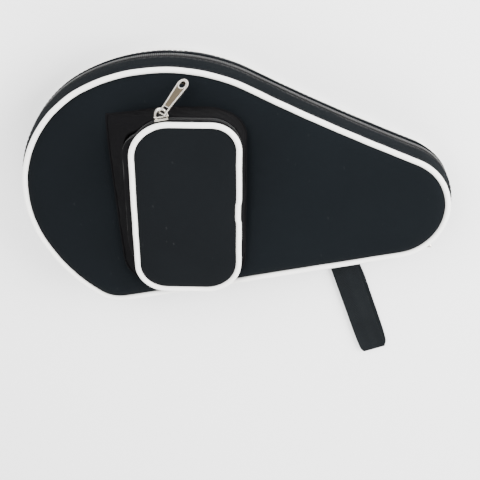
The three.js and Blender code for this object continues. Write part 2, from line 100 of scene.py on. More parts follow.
class PaddleCaseShape(bpy.types.PropertyGroup):
    nose_radius: length("Nose radius", "Round end of the blade, to the piping's centre", 85.5)
    top_flank_radius: length("Top flank radius", "Far side of the blade", 120)
    neck_radius: length("Neck radius", "Shallow hollow between blade and handle end", 1600)
    tip_radius: length("Tip radius", "Handle end", 38)
    tip_x: length("Tip centre", "Centre of the handle end from the nose centre", 165)
    hinge_y: length("Hinge side", "Straight side with the fabric hinge", -81)
    low_flank_radius: length("Low flank radius", "Near side of the blade", 118)
    corner_radius: length("Corner radius", "Corner between the blade and the hinge side", 25)
    nose_start: turn("Nose start", "Angle where the top flank meets the nose", 105.5)
    nose_end: turn("Nose end", "Angle where the nose meets the low flank", 194)
    bulge: length("Bulge", "How far the zipper stands outside the piping", 4.6)
    piping: length("Piping radius", "Half the thickness of the white piping", 1.9)
    pocket_high_right: length("High right corner", "Radius of that pocket corner", 18.5)
    pocket_high_left: length("High left corner", "Radius of that pocket corner", 26)
    pocket_low_left: length("Low left corner", "Radius of that pocket corner", 20)
    pocket_low_right: length("Low right corner", "Radius of that pocket corner", 23)
    pocket_x: length("Pocket X", "Middle of the pocket", 26.2)
    pocket_y: length("Pocket Y", "Middle of the pocket", -10)
    pocket_turn: turn("Pocket turn", "Pocket turned on the case's front", -11.5)
    pocket_half_width: length("Pocket half width", "To the middle of its piping", 35.6)
    pocket_half_length: length("Pocket half length", "To the middle of its piping", 66.5)
    pocket_top: length("Pocket height", "Piping above the front seam, at the zipped end", 26)
    pocket_bottom: length("Pocket height at the hinge", "Piping above the front seam there", 11.5)
    pocket_lean_top: length("Lean at the top", "Spread of the pocket's left foot at its zipped end", 17)
    pocket_lean_bottom: length("Lean at the bottom", "Spread of the left foot at the pocket's hinge", 7)
    pocket_spread: length("Right spread", "Spread of the pocket's right foot", 2)


class PaddleCaseTrim(bpy.types.PropertyGroup):
    tooth_pitch: length("Tooth pitch", "One turn of the zipper coil", 1.35)
    stitch: length("Stitch length", "One stitch of the topstitching", 2.6)
    stitch_gap: length("Stitch gap", "Between two stitches", 1.1)
    thread: length("Thread radius", "Half the thread's thickness", 0.2)
    weave: length("Weave pitch", "One yarn of the panel cloth", 0.55)
    webbing_weave: length("Webbing pitch", "One rib of the strap's twill", 1.5)


class PaddleCaseColours(bpy.types.PropertyGroup):
    cloth: colour("Panel cloth", "Woven cloth of the panels and gussets", 0.0034, 0.0044, 0.0054)
    pocket: colour("Pocket cloth", "Cloth of the pocket's front", 0.0038, 0.0045, 0.0053)
    pocket_side: colour("Pocket side", "Cloth of the pocket's gusset", 0.0034, 0.0033, 0.0037)
    lining: colour("Lining", "Smooth cloth inside", 0.020, 0.021, 0.023)
    piping: colour("Piping", "Coated cord in the seams", 0.87, 0.86, 0.83)
    zipper: colour("Zipper", "Tape and coil", 0.0080, 0.0080, 0.0085)
    webbing: colour("Webbing", "Wrist strap", 0.0035, 0.0042, 0.0048)
    thread: colour("Thread", "Stitching", 0.012, 0.012, 0.013)
    nickel: colour("Nickel", "Sliders, pulls and stops", 0.50, 0.475, 0.43)
    brushed: colour("Brushed face", "Recessed face of a pull", 0.085, 0.068, 0.046)
    floor: colour("Floor", "Studio floor", 0.9, 0.9, 0.9)


def shape():
    return bpy.context.scene.paddle_case_shape


def trim():
    return bpy.context.scene.paddle_case_trim


def colours():
    return bpy.context.scene.paddle_case_colours


# ---- Outlines: runs of points with the outward direction at each ----


class Run:
    """Points along an outline in metres, with the outward direction at each."""

    def __init__(self, points, outward, closed=False):
        self.points = np.asarray(points, float)
        self.outward = np.asarray(outward, float)
        self.closed = closed
        ahead = np.roll(self.points, -1, 0) if closed else self.points[1:]
        steps = np.linalg.norm(ahead - self.points[: len(ahead)], axis=1)
        self.along = np.concatenate([[0], np.cumsum(steps)])

    @property
    def length(self):
        return self.along[-1]

    def at(self, distances):
        """The run's points and outward directions at the given distances from its start."""
        points, outward = self.points, self.outward
        if self.closed:
            points = np.vstack([points, points[:1]])
            outward = np.vstack([outward, outward[:1]])
        pick = lambda rows: np.column_stack([np.interp(distances, self.along, rows[:, k]) for k in (0, 1)])
        side = pick(outward)
        return pick(points), side / np.linalg.norm(side, axis=1, keepdims=True)

    def stretch(self, start, stop, spacing=2.5 * MM):
        count = max(2, int(math.ceil((stop - start) / spacing)) + 1)
        return Run(*self.at(np.linspace(start, stop, count)))

    def moved(self, outward):
        return Run(self.points + self.outward * outward, self.outward, self.closed)


def arc_run(arcs, spacing=2.5 * MM, closed=False):
    """A run through arcs, each (centre, radius, first angle, last angle, sense)."""
    points, outward = [], []
    for centre, radius, first, last, sense in arcs:
        count = max(2, int(abs(last - first) * radius / spacing) + 1)
        for angle in np.linspace(first, last, count):
            direction = np.array([math.cos(angle), math.sin(angle)])
            point = np.asarray(centre) + radius * direction
            if not points or np.linalg.norm(point - points[-1]) > 1e-7:
                points.append(point)
                outward.append(sense * direction)
    return Run(points, outward, closed)


def polar(centre, radius, angle):
    return np.array([centre[0] + radius * math.cos(angle), centre[1] + radius * math.sin(angle)])


def angle_of(start, end):
    return math.atan2(end[1] - start[1], end[0] - start[0])


def unwrapped(angle):
    return angle + 2 * math.pi if angle < 0 else angle


def zip_run():
    """The zipped stretch of the case's outline, from the handle end round the blade to the corner."""
    s = shape()
    nose = np.zeros(2)
    top = polar(nose, s.nose_radius - s.top_flank_radius, s.nose_start)
    low = polar(nose, s.nose_radius - s.low_flank_radius, s.nose_end)
    tip = np.array([s.tip_x, s.hinge_y + s.tip_radius])
    a, b = s.top_flank_radius + s.neck_radius, s.tip_radius + s.neck_radius
    gap = np.linalg.norm(tip - top)
    unit = (tip - top) / gap
    near = (a * a - b * b + gap * gap) / (2 * gap)
    neck = top + near * unit + math.sqrt(a * a - near * near) * np.array([-unit[1], unit[0]])
    corner_y = s.hinge_y + s.corner_radius
    reach = math.sqrt((s.low_flank_radius - s.corner_radius) ** 2 - (corner_y - low[1]) ** 2)
    corner = np.array([low[0] - reach, corner_y])
    corner_start = unwrapped(angle_of(low, corner))
    neck_angles = (unwrapped(angle_of(neck, tip)), unwrapped(angle_of(neck, top)))
    return arc_run([
        (tip, s.tip_radius, -math.pi / 2, angle_of(tip, neck), 1),
        (neck, s.neck_radius, *neck_angles, -1),
        (top, s.top_flank_radius, angle_of(top, neck), s.nose_start, 1),
        (nose, s.nose_radius, s.nose_start, s.nose_end, 1),
        (low, s.low_flank_radius, s.nose_end, corner_start, 1),
        (corner, s.corner_radius, corner_start, 1.5 * math.pi, 1),
    ])


def straight(start, end, outward, spacing=2.5 * MM):
    count = max(2, int(np.linalg.norm(np.subtract(end, start)) / spacing) + 1)
    return Run(np.linspace(start, end, count), np.tile(outward, (count, 1)))


def hinge_run():
    """The straight side with the fabric hinge, from the corner to the handle end."""
    around = zip_run()
    return straight(around.points[-1], around.points[0], (0.0, -1.0))


def chained(first, second, closed=False):
    """Two runs end to end, without a doubled point where they meet."""
    last = -1 if closed else None
    points = np.vstack([first.points, second.points[1:last]])
    return Run(points, np.vstack([first.outward, second.outward[1:last]]), closed)


def whole_run():
    """The whole outline as a loop."""
    return chained(zip_run(), hinge_run(), closed=True)


def jointed_run():
    """The whole outline, cut half way along the hinge side, where the piping is joined."""
    side = hinge_run()
    middle = side.length / 2
    ends = side.stretch(middle, side.length), side.stretch(0, middle)
    return chained(chained(ends[0], zip_run()), ends[1])


def even(run, spacing):
    """A closed run with its points at even distances."""
    count = int(run.length / spacing)
    return Run(*run.at(np.arange(count) * run.length / count), closed=True)


# ---- The pocket's own frame: a tilted plane turned on the case's front ----

POCKET_DEEP = 8.0 * MM
POCKET_OUTER = 1.9 * MM
POCKET_INNER = 0.3 * MM


def pocket_hinge_y():
    s = shape()
    return max(s.pocket_low_left, s.pocket_low_right) - s.pocket_half_length + 1 * MM


def pocket_run(spacing=2 * MM):
    """The pocket's outline as a loop, from the right end of its zipper round to it again."""
    s = shape()
    w, h = s.pocket_half_width, s.pocket_half_length
    corners = [
        (1, 1, s.pocket_high_right),
        (-1, 1, s.pocket_high_left),
        (-1, -1, s.pocket_low_left),
        (1, -1, s.pocket_low_right),
    ]
    arcs = [
        ((x * (w - r), y * (h - r)), r, i * math.pi / 2, (i + 1) * math.pi / 2, 1)
        for i, (x, y, r) in enumerate(corners)
    ]
    turns = arc_run(arcs, spacing)
    points = np.vstack([[(w, pocket_hinge_y())], turns.points])
    return even(Run(points, np.vstack([[(1, 0)], turns.outward]), closed=True), spacing)


def pocket_zip_end():
    """Distance along the pocket's outline to the left end of its zipper."""
    s = shape()
    low = s.pocket_low_left + s.pocket_low_right
    straights = 2 * (pocket_hinge_y() + s.pocket_half_length) - low + 2 * s.pocket_half_width - low
    return pocket_run().length - straights - low * math.pi / 2


def pocket_yaw():
    s = shape()
    return Matrix.Translation((s.pocket_x, s.pocket_y, 0)) @ Matrix.Rotation(s.pocket_turn, 4, "Z")


def pocket_tilt():
    s = shape()
    slope = math.asin((s.pocket_top - s.pocket_bottom) / (2 * s.pocket_half_length))
    height = FRONT_SEAM + (s.pocket_top + s.pocket_bottom) / 2
    return Matrix.Translation((0, 0, height)) @ Matrix.Rotation(slope, 4, "X")


def pocket_plane():
    return pocket_yaw() @ pocket_tilt()


FLARE = 4.4 * MM
SLIDER_REACH = math.radians(143)


def pocket_flare(points):
    """How far the soft side stands outside the piping: most along the left, none where the slider runs."""
    s = shape()
    radius = s.pocket_high_left
    start = (s.pocket_half_width - radius - radius * math.cos(SLIDER_REACH)) / s.pocket_half_width
    leftwards = np.clip((-points[:, 0] / s.pocket_half_width - start) / (1 - start), 0, 1)
    up = np.clip((points[:, 1] + s.pocket_half_length * 0.78) / (26 * MM), 0, 1)
    ease = lambda t: t * t * (3 - 2 * t)
    return FLARE * ease(leftwards) * ease(up)


def flared(run):
    return Run(run.points + run.outward * pocket_flare(run.points)[:, None], run.outward, run.closed)


FOOT_POINT = 0.9
FOOT_SAG = 7.5 * MM
FOOT_CORNER_SHARE = 0.385


def foot_point(run):
    """Shift of the foot at its high left corner, which is folded to a point and sags."""
    s = shape()
    radius = s.pocket_high_left
    corner = np.array((radius - s.pocket_half_width, s.pocket_half_length - radius))
    x, y = (run.points - corner).T
    inside = (x < 0) & (y > 0)
    reach = np.hypot(x, y)
    square = reach / np.maximum(np.maximum(np.abs(x), np.abs(y)), 1 * MM)
    outward = np.where(inside, FOOT_POINT * reach * (square - 1), 0)
    leftness = np.clip(-run.points[:, 0] / s.pocket_half_width, 0, 1) ** 1.5
    height = np.clip(run.points[:, 1] / s.pocket_half_length, 0, 1) ** 2
    sag = np.column_stack([np.zeros(len(x)), -FOOT_SAG * leftness * height])
    return run.outward * outward[:, None] + sag


def pocket_wall_run(outward, level):
    """The pocket's wall at a level from its foot (0) to the zipper (1): plan points, and heights."""
    s = shape()
    run = pocket_run().moved(outward)
    stand = pocket_flare(run.points) * level
    shift = run.outward * stand[:, None] + foot_point(run) * (1 - level) ** 1.6
    run = Run(run.points + shift, run.outward, closed=True)
    tilt = np.array(pocket_tilt())
    x, y = run.points.T
    head = np.column_stack([x, y, np.full(len(x), -POCKET_DEEP), np.ones(len(x))]) @ tilt.T
    across = (x + s.pocket_half_width) / (2 * s.pocket_half_width)
    along = (y + s.pocket_half_length) / (2 * s.pocket_half_length)
    across, along = np.clip(across, 0, 1), np.clip(along, 0, 1)
    lean = s.pocket_lean_bottom + (s.pocket_lean_top - s.pocket_lean_bottom) * along
    sideways = x + s.pocket_spread * across - lean * (1 - across)
    foot = np.column_stack([sideways, head[:, 1], [FRONT_FACE] * len(x)])
    return foot + (head[:, :3] - foot) * level, run


# ---- Mesh helpers ----


def select_only(obj):
    bpy.ops.object.select_all(action="DESELECT")
    obj.select_set(True)
    bpy.context.view_layer.objects.active = obj


def primitive(operator, **values):
    """Adds a primitive, moves its place and size into its mesh, and gives it back."""
    bpy.ops.object.select_all(action="DESELECT")
    operator(**values)
    bpy.ops.object.transform_apply(location=True, rotation=True, scale=True)
    return bpy.context.object


def edit_all(*steps):
    """Runs edit mode operators, each with its values, on all of the active mesh."""
    bpy.ops.object.mode_set(mode="EDIT")
    bpy.ops.mesh.select_all(action="SELECT")
    for operator, values in steps:
        operator(**values)
    bpy.ops.object.mode_set(mode="OBJECT")


def new_object(name, verts, faces, uvs=None):
    mesh = bpy.data.meshes.new(name)
    mesh.from_pydata(np.asarray(verts).tolist(), [], faces)
    if uvs is not None:
        layer = mesh.uv_layers.new(name="UVMap")
        layer.data.foreach_set("uv", np.asarray(uvs, float).ravel())
    mesh.validate()
    obj = bpy.data.objects.new(name, mesh)
    bpy.context.scene.collection.objects.link(obj)
    return obj


def smooth(obj, degrees=50):
    select_only(obj)
    bpy.ops.object.shade_smooth_by_angle(angle=math.radians(degrees))
    return obj


def apply_modifier(obj, kind, **values):
    select_only(obj)
    modifier = obj.modifiers.new(kind.title(), kind)
    for key, value in values.items():
        setattr(modifier, key, value)
    bpy.ops.object.modifier_apply(modifier=modifier.name)


def outward_faces(obj):
    select_only(obj)
    edit_all(
        (bpy.ops.mesh.remove_doubles, {"threshold": 1e-6}),
        (bpy.ops.mesh.normals_make_consistent, {"inside": False}),
    )


def join(objects, name):
    bpy.ops.object.select_all(action="DESELECT")
    for obj in objects:
        obj.select_set(True)
    bpy.context.view_layer.objects.active = objects[0]
    bpy.ops.object.join()
    objects[0].name = name
    return objects[0]


def coordinates(obj):
    flat = np.empty(len(obj.data.vertices) * 3)
    obj.data.vertices.foreach_get("co", flat)
    return flat.reshape(-1, 3)


def set_coordinates(obj, rows):
    obj.data.vertices.foreach_set("co", np.asarray(rows, float).ravel())
    obj.data.update()


def rounded(corners, radius, steps=3):
    """A closed section with each corner turned into a short curve."""
    corners = np.asarray(corners, float)
    points = []
    for before, corner, after in zip(np.roll(corners, 1, 0), corners, np.roll(corners, -1, 0)):
        back, ahead = before - corner, after - corner
        cut = min(radius, 0.45 * np.linalg.norm(back), 0.45 * np.linalg.norm(ahead))
        start = corner + back / np.linalg.norm(back) * cut
        end = corner + ahead / np.linalg.norm(ahead) * cut
        for t in np.linspace(0, 1, steps + 1):
            points.append((1 - t) ** 2 * start + 2 * t * (1 - t) * corner + t * t * end)
    return np.array(points)


def circle(radius, outward=0.0, height=0.0, sides=16):
    angles = np.arange(sides) * 2 * math.pi / sides
    return np.column_stack([outward + radius * np.cos(angles), height + radius * np.sin(angles)])


def grid_faces(rings, sides, closed):
    """Quads between rings of a sweep. Where it is closed, the last ring joins the first."""
    faces = []
    for i in range(rings if closed else rings - 1):
        a, b = i * sides, (i + 1) % rings * sides
        for j in range(sides):
            k = (j + 1) % sides
            faces.append((a + j, b + j, b + k, a + k))
    return faces


def ring_faces(rings, count):
    """Quads between rings of points, each ring closed, with the rings left open at both ends."""
    faces = []
    for i in range(rings):
        for j in range(count):
            k = (j + 1) % count
            faces.append((i * count + j, i * count + k, (i + 1) * count + k, (i + 1) * count + j))
    return faces


def sweep(name, run, section, place=None):
    """Carries a section (outward, height) along a run. UVs are metres along and round it."""
    rings = len(run.points)
    section = np.broadcast_to(section, (rings,) + np.shape(section)[-2:])
    sides = section.shape[1]
    flat = run.points[:, None] + run.outward[:, None] * section[..., :1]
    verts = np.dstack([flat, section[..., 1]]).reshape(-1, 3)
    faces = grid_faces(rings, sides, run.closed)
    edges = np.linalg.norm(np.roll(section[0], -1, 0) - section[0], axis=1)
    across = np.concatenate([[0], np.cumsum(edges)])
    uvs = []
    for i in range(rings if run.closed else rings - 1):
        u0, u1 = run.along[i], run.along[i + 1]
        for j in range(sides):
            uvs += [(u0, across[j]), (u1, across[j]), (u1, across[j + 1]), (u0, across[j + 1])]
    if not run.closed:
        last = (rings - 1) * sides
        faces += [tuple(range(sides)), tuple(range(last + sides - 1, last - 1, -1))]
        uvs += [(0, 0)] * (2 * sides)
    obj = new_object(name, verts, faces, uvs)
    return placed(obj, place, 50)


def placed(obj, place, degrees):
    """Turns faces outwards, moves the mesh to its place and shades it smooth below an angle."""
    if place is not None:
        obj.data.transform(place)
    outward_faces(obj)
    return smooth(obj, degrees)


def repeat_along(name, run, spacing, template, height, place=None, wave=0.0):
    """Copies a small closed shape along a run. template is (rings, sides, 3): along, outward, up."""
    count = int(run.length / spacing)
    where = (np.arange(count) + 0.5) * run.length / count
    points, outward = run.at(where)
    ahead = np.column_stack([-outward[:, 1], outward[:, 0]])
    rings, sides = template.shape[:2]
    body = template.reshape(-1, 3)
    ends = [tuple(range(sides)), tuple(range((rings - 1) * sides, rings * sides))]
    flat = points[:, None] + ahead[:, None] * body[None, :, :1] + outward[:, None] * body[None, :, 1:2]
    lift = height + body[None, :, 2] + wave * np.sin(where / (9 * MM))[:, None]
    verts = np.dstack([flat, lift[..., None]]).reshape(-1, 3)
    one = grid_faces(rings, sides, False) + ends
    faces = [tuple(v + i * len(body) for v in face) for i in range(count) for face in one]
    obj = new_object(name, verts, faces)
    return placed(obj, place, 70)


def rod_template(half_length, radius, axis, sides=6):
    """A short rod with rounded ends: along the run (axis 0), outwards (1) or upright (2)."""
    radii = np.broadcast_to(radius, 2)
    rings = []
    for position, scale in ((-1, 0.4), (-0.8, 1), (0.8, 1), (1, 0.4)):
        angles = np.arange(sides) * 2 * math.pi / sides
        ring = np.zeros((sides, 3))
        ring[:, axis] = position * half_length
        ring[:, (axis + 1) % 3] = scale * radii[0] * np.cos(angles)
        ring[:, (axis + 2) % 3] = scale * radii[1] * np.sin(angles)
        rings.append(ring)
    return np.array(rings)


def ripple(obj, size, amount, direction=None, seed=0.0):
    """Moves points a little, as cloth does, along a direction or along their normals."""
    rows = coordinates(obj)
    for i, vertex in enumerate(obj.data.vertices):
        way = direction or vertex.normal
        shift = noise.noise(Vector(rows[i]) / size + Vector((seed, seed, seed)))
        rows[i] += np.array(way) * amount * shift
    set_coordinates(obj, rows)


def ride(obj, look, body, slot, *nodes):
    """Dresses a finished piece, hides the nodes it stands for, and puts it on its body; its slot is not used.
    """
    if look:
        dress(obj, look)
    if nodes:
        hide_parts(*nodes)
    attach(obj, body)


# ---- Materials ----


def group(name, inputs, outputs):
    """An empty shader node group with float or vector sockets."""
    tree = bpy.data.node_groups.new(name, "ShaderNodeTree")
    for label, default in inputs:
        kind = "NodeSocketVector" if default is None else "NodeSocketFloat"
        socket = tree.interface.new_socket(label, in_out="INPUT", socket_type=kind)
        if default is not None:
            socket.default_value = default
    for label in outputs:
        tree.interface.new_socket(label, in_out="OUTPUT", socket_type="NodeSocketFloat")
    return tree, tree.nodes.new("NodeGroupInput"), tree.nodes.new("NodeGroupOutput")


class Wiring:
    """Short calls for the nodes of one tree."""

    def __init__(self, tree):
        self.tree = tree

    def node(self, kind, **values):
        made = self.tree.nodes.new(kind)
        for key, value in values.items():
            setattr(made, key, value)
        return made

    def link(self, source, target):
        self.tree.links.new(source, target)

    def math(self, operation, *values):
        made = self.node("ShaderNodeMath", operation=operation)
        for socket, value in zip(made.inputs, values):
            if isinstance(value, (int, float)):
                socket.default_value = value
            else:
                self.link(value, socket)
        return made.outputs[0]

    def noise(self, vector, scale, detail=3.0, roughness=0.55):
        made = self.node("ShaderNodeTexNoise")
        made.inputs["Scale"].default_value = scale
        made.inputs["Detail"].default_value = detail
        made.inputs["Roughness"].default_value = roughness
        self.link(vector, made.inputs["Vector"])
        return made.outputs["Fac"]


def weave_group():
    """Plain weave: two sets of yarns that pass over and under each other."""
    tree, given, made = group("Plain weave", [("Vector", None), ("Pitch", 0.0006)], ["Height", "Over"])
    w = Wiring(tree)
    axes = w.node("ShaderNodeSeparateXYZ")
    w.link(given.outputs["Vector"], axes.inputs[0])
    waves = []
    for axis in ("X", "Y"):
        turns = w.math("DIVIDE", axes.outputs[axis], given.outputs["Pitch"])
        waves.append(w.math("SINE", w.math("MULTIPLY", turns, math.pi)))
    product = w.math("MULTIPLY", waves[0], waves[1])
    w.link(w.math("POWER", w.math("ABSOLUTE", product), 0.6), made.inputs["Height"])
    w.link(w.math("GREATER_THAN", product, 0.0), made.inputs["Over"])
    return tree


def twill_group():
    """Herringbone twill: slanted ribs that change direction at each band across the webbing."""
    inputs = [("Vector", None), ("Pitch", 0.0015), ("Band", 0.005)]
    tree, given, made = group("Herringbone twill", inputs, ["Height"])
    w = Wiring(tree)
    axes = w.node("ShaderNodeSeparateXYZ")
    w.link(given.outputs["Vector"], axes.inputs[0])
    band = w.math("PINGPONG", axes.outputs["Y"], given.outputs["Band"])
    slanted = w.math("ADD", axes.outputs["X"], band)
    rib = w.math("SINE", w.math("MULTIPLY", w.math("DIVIDE", slanted, given.outputs["Pitch"]), 2 * math.pi))
    yarn_pitch = w.math("MULTIPLY", given.outputs["Pitch"], 0.35)
    yarn = w.math("SINE", w.math("MULTIPLY", w.math("DIVIDE", axes.outputs["Y"], yarn_pitch), 2 * math.pi))
    w.link(w.math("MULTIPLY_ADD", yarn, 0.25, rib), made.inputs["Height"])
    return tree


def lint_group():
    """Sparse specks and short fibres of lint on dark cloth."""
    tree, given, made = group("Lint", [("Vector", None), ("Scale", 90.0), ("Size", 0.1)], ["Mask"])
    w = Wiring(tree)
    warped = w.node("ShaderNodeMapping")
    warped.inputs["Scale"].default_value = (1.0, 0.45, 1.0)
    warped.inputs["Rotation"].default_value = (0.0, 0.0, 0.6)
    w.link(given.outputs["Vector"], warped.inputs["Vector"])
    cells = w.node("ShaderNodeTexVoronoi", feature="F1")
    w.link(warped.outputs[0], cells.inputs["Vector"])
    w.link(given.outputs["Scale"], cells.inputs["Scale"])
    near = w.math("LESS_THAN", cells.outputs["Distance"], given.outputs["Size"])
    chosen = w.node("ShaderNodeSeparateColor")
    w.link(cells.outputs["Color"], chosen.inputs[0])
    few = w.math("GREATER_THAN", chosen.outputs["Red"], 0.72)
    strength = w.math("MULTIPLY", near, few)
    w.link(w.math("MULTIPLY", strength, chosen.outputs["Green"]), made.inputs["Mask"])
    return tree


GROUPS = {}


def shared(name):
    if name not in GROUPS:
        GROUPS[name] = {"weave": weave_group, "twill": twill_group, "lint": lint_group}[name]()
    return GROUPS[name]


class Finish(Wiring):
    """A material with its Principled shader and a texture vector."""

    def __init__(self, name, roughness, vector="Object", **shader):
        self.material = bpy.data.materials.new(name)
        self.material.use_nodes = True
        super().__init__(self.material.node_tree)
        self.shader = self.tree.nodes["Principled BSDF"]
        self.shader.inputs["Roughness"].default_value = roughness
        for key, value in shader.items():
            self.shader.inputs[key.replace("_", " ")].default_value = value
        coordinate = self.node("ShaderNodeTexCoord")
        self.vector = coordinate.outputs[vector]
        self.object_vector = coordinate.outputs["Object"]

    def use(self, name, vector=None, **values):
        made = self.node("ShaderNodeGroup", node_tree=shared(name))
        self.link(vector or self.vector, made.inputs["Vector"])
        for key, value in values.items():
            made.inputs[key].default_value = value
        return made.outputs

    def tint(self, base, factor, low, high):
        """Colours the base between low and high times itself by a 0 to 1 factor."""
        ramp = self.node("ShaderNodeMix", data_type="RGBA")
        ramp.inputs["A"].default_value = [min(1, c * low) for c in base] + [1]
        ramp.inputs["B"].default_value = [min(1, c * high) for c in base] + [1]
        self.link(factor, ramp.inputs["Factor"])
        return ramp.outputs["Result"]

    def over(self, below, colour_above, mask):
        mix = self.node("ShaderNodeMix", data_type="RGBA")
        self.link(below, mix.inputs["A"])
        mix.inputs["B"].default_value = list(colour_above) + [1]
        self.link(mask, mix.inputs["Factor"])
        return mix.outputs["Result"]

    def bump(self, height, distance, strength=1.0):
        made = self.node("ShaderNodeBump")
        made.inputs["Distance"].default_value = distance
        made.inputs["Strength"].default_value = strength
        self.link(height, made.inputs["Height"])
        self.link(made.outputs[0], self.shader.inputs["Normal"])

    def colour(self, socket):
        self.link(socket, self.shader.inputs["Base Color"])


def woven(name, base, pitch, vector="Object", lint=0.0, roughness=0.85, sheen=0.01, patch=0.35):
    """Plain-woven synthetic cloth with a soft sheen, uneven dye, a painted sheen on one set of yarn
    crossings, and a little lint.
    """
    m = Finish(name, roughness, vector, Sheen_Weight=sheen, Sheen_Roughness=0.45, Specular_IOR_Level=0.03)
    weave = m.use("weave", Pitch=pitch)
    broad = m.noise(m.object_vector, 14.0)
    fine = m.noise(m.object_vector, 900.0, 2.0)
    uneven = m.math("ADD", m.math("MULTIPLY", broad, 0.7), m.math("MULTIPLY", fine, 0.3))
    # Painted sheen: crossings where one set of yarns lies on top are coloured lighter. This is added to the
    # uneven dye.
    dye_and_yarn_sheen = m.math("MULTIPLY_ADD", weave["Over"], 0.18, uneven)
    shade = m.tint(base, dye_and_yarn_sheen, 1 - patch, 1 + patch)
    if lint:
        specks = m.use("lint", m.object_vector, Scale=210.0, Size=0.11)
        shade = m.over(shade, (0.10, 0.105, 0.11), m.math("MULTIPLY", specks["Mask"], lint))
    m.colour(shade)
    yarns = m.math("MULTIPLY_ADD", fine, 0.35, weave["Height"])
    m.bump(yarns, 0.12 * MM, 0.75)
    rough = m.math("MULTIPLY_ADD", broad, 0.12, roughness - 0.06)
    m.link(rough, m.shader.inputs["Roughness"])
    return m.material


def coated_cord(name, base):
    """White coated piping: satin, faintly soiled, with the cord's twist just showing."""
    m = Finish(name, 0.42, "UV", Specular_IOR_Level=0.45, Coat_Weight=0.15, Coat_Roughness=0.35)
    soil = m.noise(m.object_vector, 22.0, 4.0)
    dirty = m.math("MULTIPLY", m.math("GREATER_THAN", soil, 0.0), m.math("POWER", soil, 3.0))
    grey = m.tint(base, dirty, 1.04, 0.86)
    m.colour(grey)
    axes = m.node("ShaderNodeSeparateXYZ")
    m.link(m.vector, axes.inputs[0])
    slant = m.math("ADD", axes.outputs["X"], m.math("MULTIPLY", axes.outputs["Y"], 0.6))
    twist = m.math("SINE", m.math("MULTIPLY", slant, 2 * math.pi / (1.6 * MM)))
    m.bump(m.math("MULTIPLY_ADD", m.noise(m.object_vector, 500.0), 1.2, twist), 0.05 * MM, 0.5)
    return m.material


def webbing_finish(name, base):
    m = Finish(name, 0.72, "UV", Sheen_Weight=0.01, Sheen_Roughness=0.4, Specular_IOR_Level=0.04)
    twill = m.use("twill", Pitch=trim().webbing_weave, Band=5.0 * MM)
    # Painted light and shade on the twill: the raised ribs are coloured lighter and the grooves between them
    # darker. The noise adds random tone.
    raised = m.math("MULTIPLY_ADD", twill["Height"], 0.4, 0.5)
    shade = m.math("ADD", m.math("MULTIPLY", raised, 0.75), m.math("MULTIPLY", m.noise(m.vector, 60.0), 0.4))
    m.colour(m.tint(base, shade, 0.05, 3.0))
    m.bump(m.math("MULTIPLY_ADD", m.noise(m.vector, 2500.0), 0.4, twill["Height"]), 0.22 * MM, 0.9)
    return m.material


def plated(name, base, roughness=0.2):
    """Bright plated metal with fine handling marks."""
    m = Finish(name, roughness, "Object", Metallic=1.0)
    marks = m.noise(m.vector, 260.0, 4.0)
    streak = m.node("ShaderNodeMapping")
    streak.inputs["Scale"].default_value = (3000.0, 180.0, 180.0)
    m.link(m.vector, streak.inputs["Vector"])
    scratch = m.noise(streak.outputs[0], 1.0, 2.0)
    m.colour(m.tint(base, marks, 0.88, 1.08))
    m.link(m.math("MULTIPLY_ADD", marks, 0.16, roughness - 0.06), m.shader.inputs["Roughness"])
    m.bump(m.math("ADD", marks, m.math("MULTIPLY", scratch, 0.4)), 0.02 * MM, 0.5)
    return m.material


def brushed(name, base):
    """The darker, brushed face sunk in a pull."""
    m = Finish(name, 0.42, "UV", Metallic=0.85)
    streak = m.node("ShaderNodeMapping")
    streak.inputs["Scale"].default_value = (250.0, 6000.0, 1.0)
    m.link(m.object_vector, streak.inputs["Vector"])
    lines = m.noise(streak.outputs[0], 1.0, 3.0)
    m.colour(m.tint(base, lines, 0.7, 1.25))
    m.bump(lines, 0.02 * MM, 0.6)
    return m.material


def nylon(name, base):
    """Moulded nylon coil: dark, slightly glossy."""
    m = Finish(name, 0.4, "Object", Specular_IOR_Level=0.5)
    grain = m.noise(m.vector, 700.0, 3.0)
    m.colour(m.tint(base, grain, 0.8, 1.5))
    m.link(m.math("MULTIPLY_ADD", grain, 0.15, 0.32), m.shader.inputs["Roughness"])
    m.bump(grain, 0.03 * MM, 0.4)
    return m.material


def floor_finish(name, base):
    m = Finish(name, 0.75, "Object", Specular_IOR_Level=0.2)
    m.colour(m.tint(base, m.noise(m.vector, 3.0), 0.99, 1.01))
    return m.material


FINISHES = {}


def finish(name):
    """Each finish is made once, when a piece first asks for it."""
    c, t = colours(), trim()
    makers = {
        "shell": lambda: woven("Panel cloth", c.cloth, t.weave, lint=0.04),
        "side": lambda: woven("Side cloth", c.cloth, t.weave, "UV"),
        "pocket": lambda: woven("Pocket cloth", c.pocket, t.weave, lint=0.12),
        "pocket_side": lambda: woven("Pocket side cloth", c.pocket_side, t.weave, "UV", patch=0.5),
        "lining": lambda: woven("Lining", c.lining, 0.3 * MM, roughness=0.55, sheen=0.05),
        "tape": lambda: woven("Zipper tape", c.zipper, 0.45 * MM, "UV", sheen=0.1),
        "binding": lambda: woven("Binding", c.zipper, 0.8 * MM, "UV"),
        "thread": lambda: woven("Thread", c.thread, 0.4 * MM, roughness=0.6, sheen=0.2),
        "piping": lambda: coated_cord("Piping", c.piping),
        "webbing": lambda: webbing_finish("Webbing", c.webbing),
        "nickel": lambda: plated("Nickel", c.nickel),
        "brushed": lambda: brushed("Brushed face", c.brushed),
        "coil": lambda: nylon("Coil", c.zipper),
        "floor": lambda: floor_finish("Floor", c.floor),
    }
    if name not in FINISHES:
        FINISHES[name] = makers[name]()
    return FINISHES[name]


def dress(obj, name):
    obj.data.materials.clear()
    obj.data.materials.append(finish(name))
    return obj


# ---- Sections of the case's wall ----


def wall_offset(from_ridge):
    """How far the wall stands outside the piping, at a distance from the zipper."""
    return shape().bulge * (1 - (np.asarray(from_ridge) / HALF_DEPTH) ** 2)


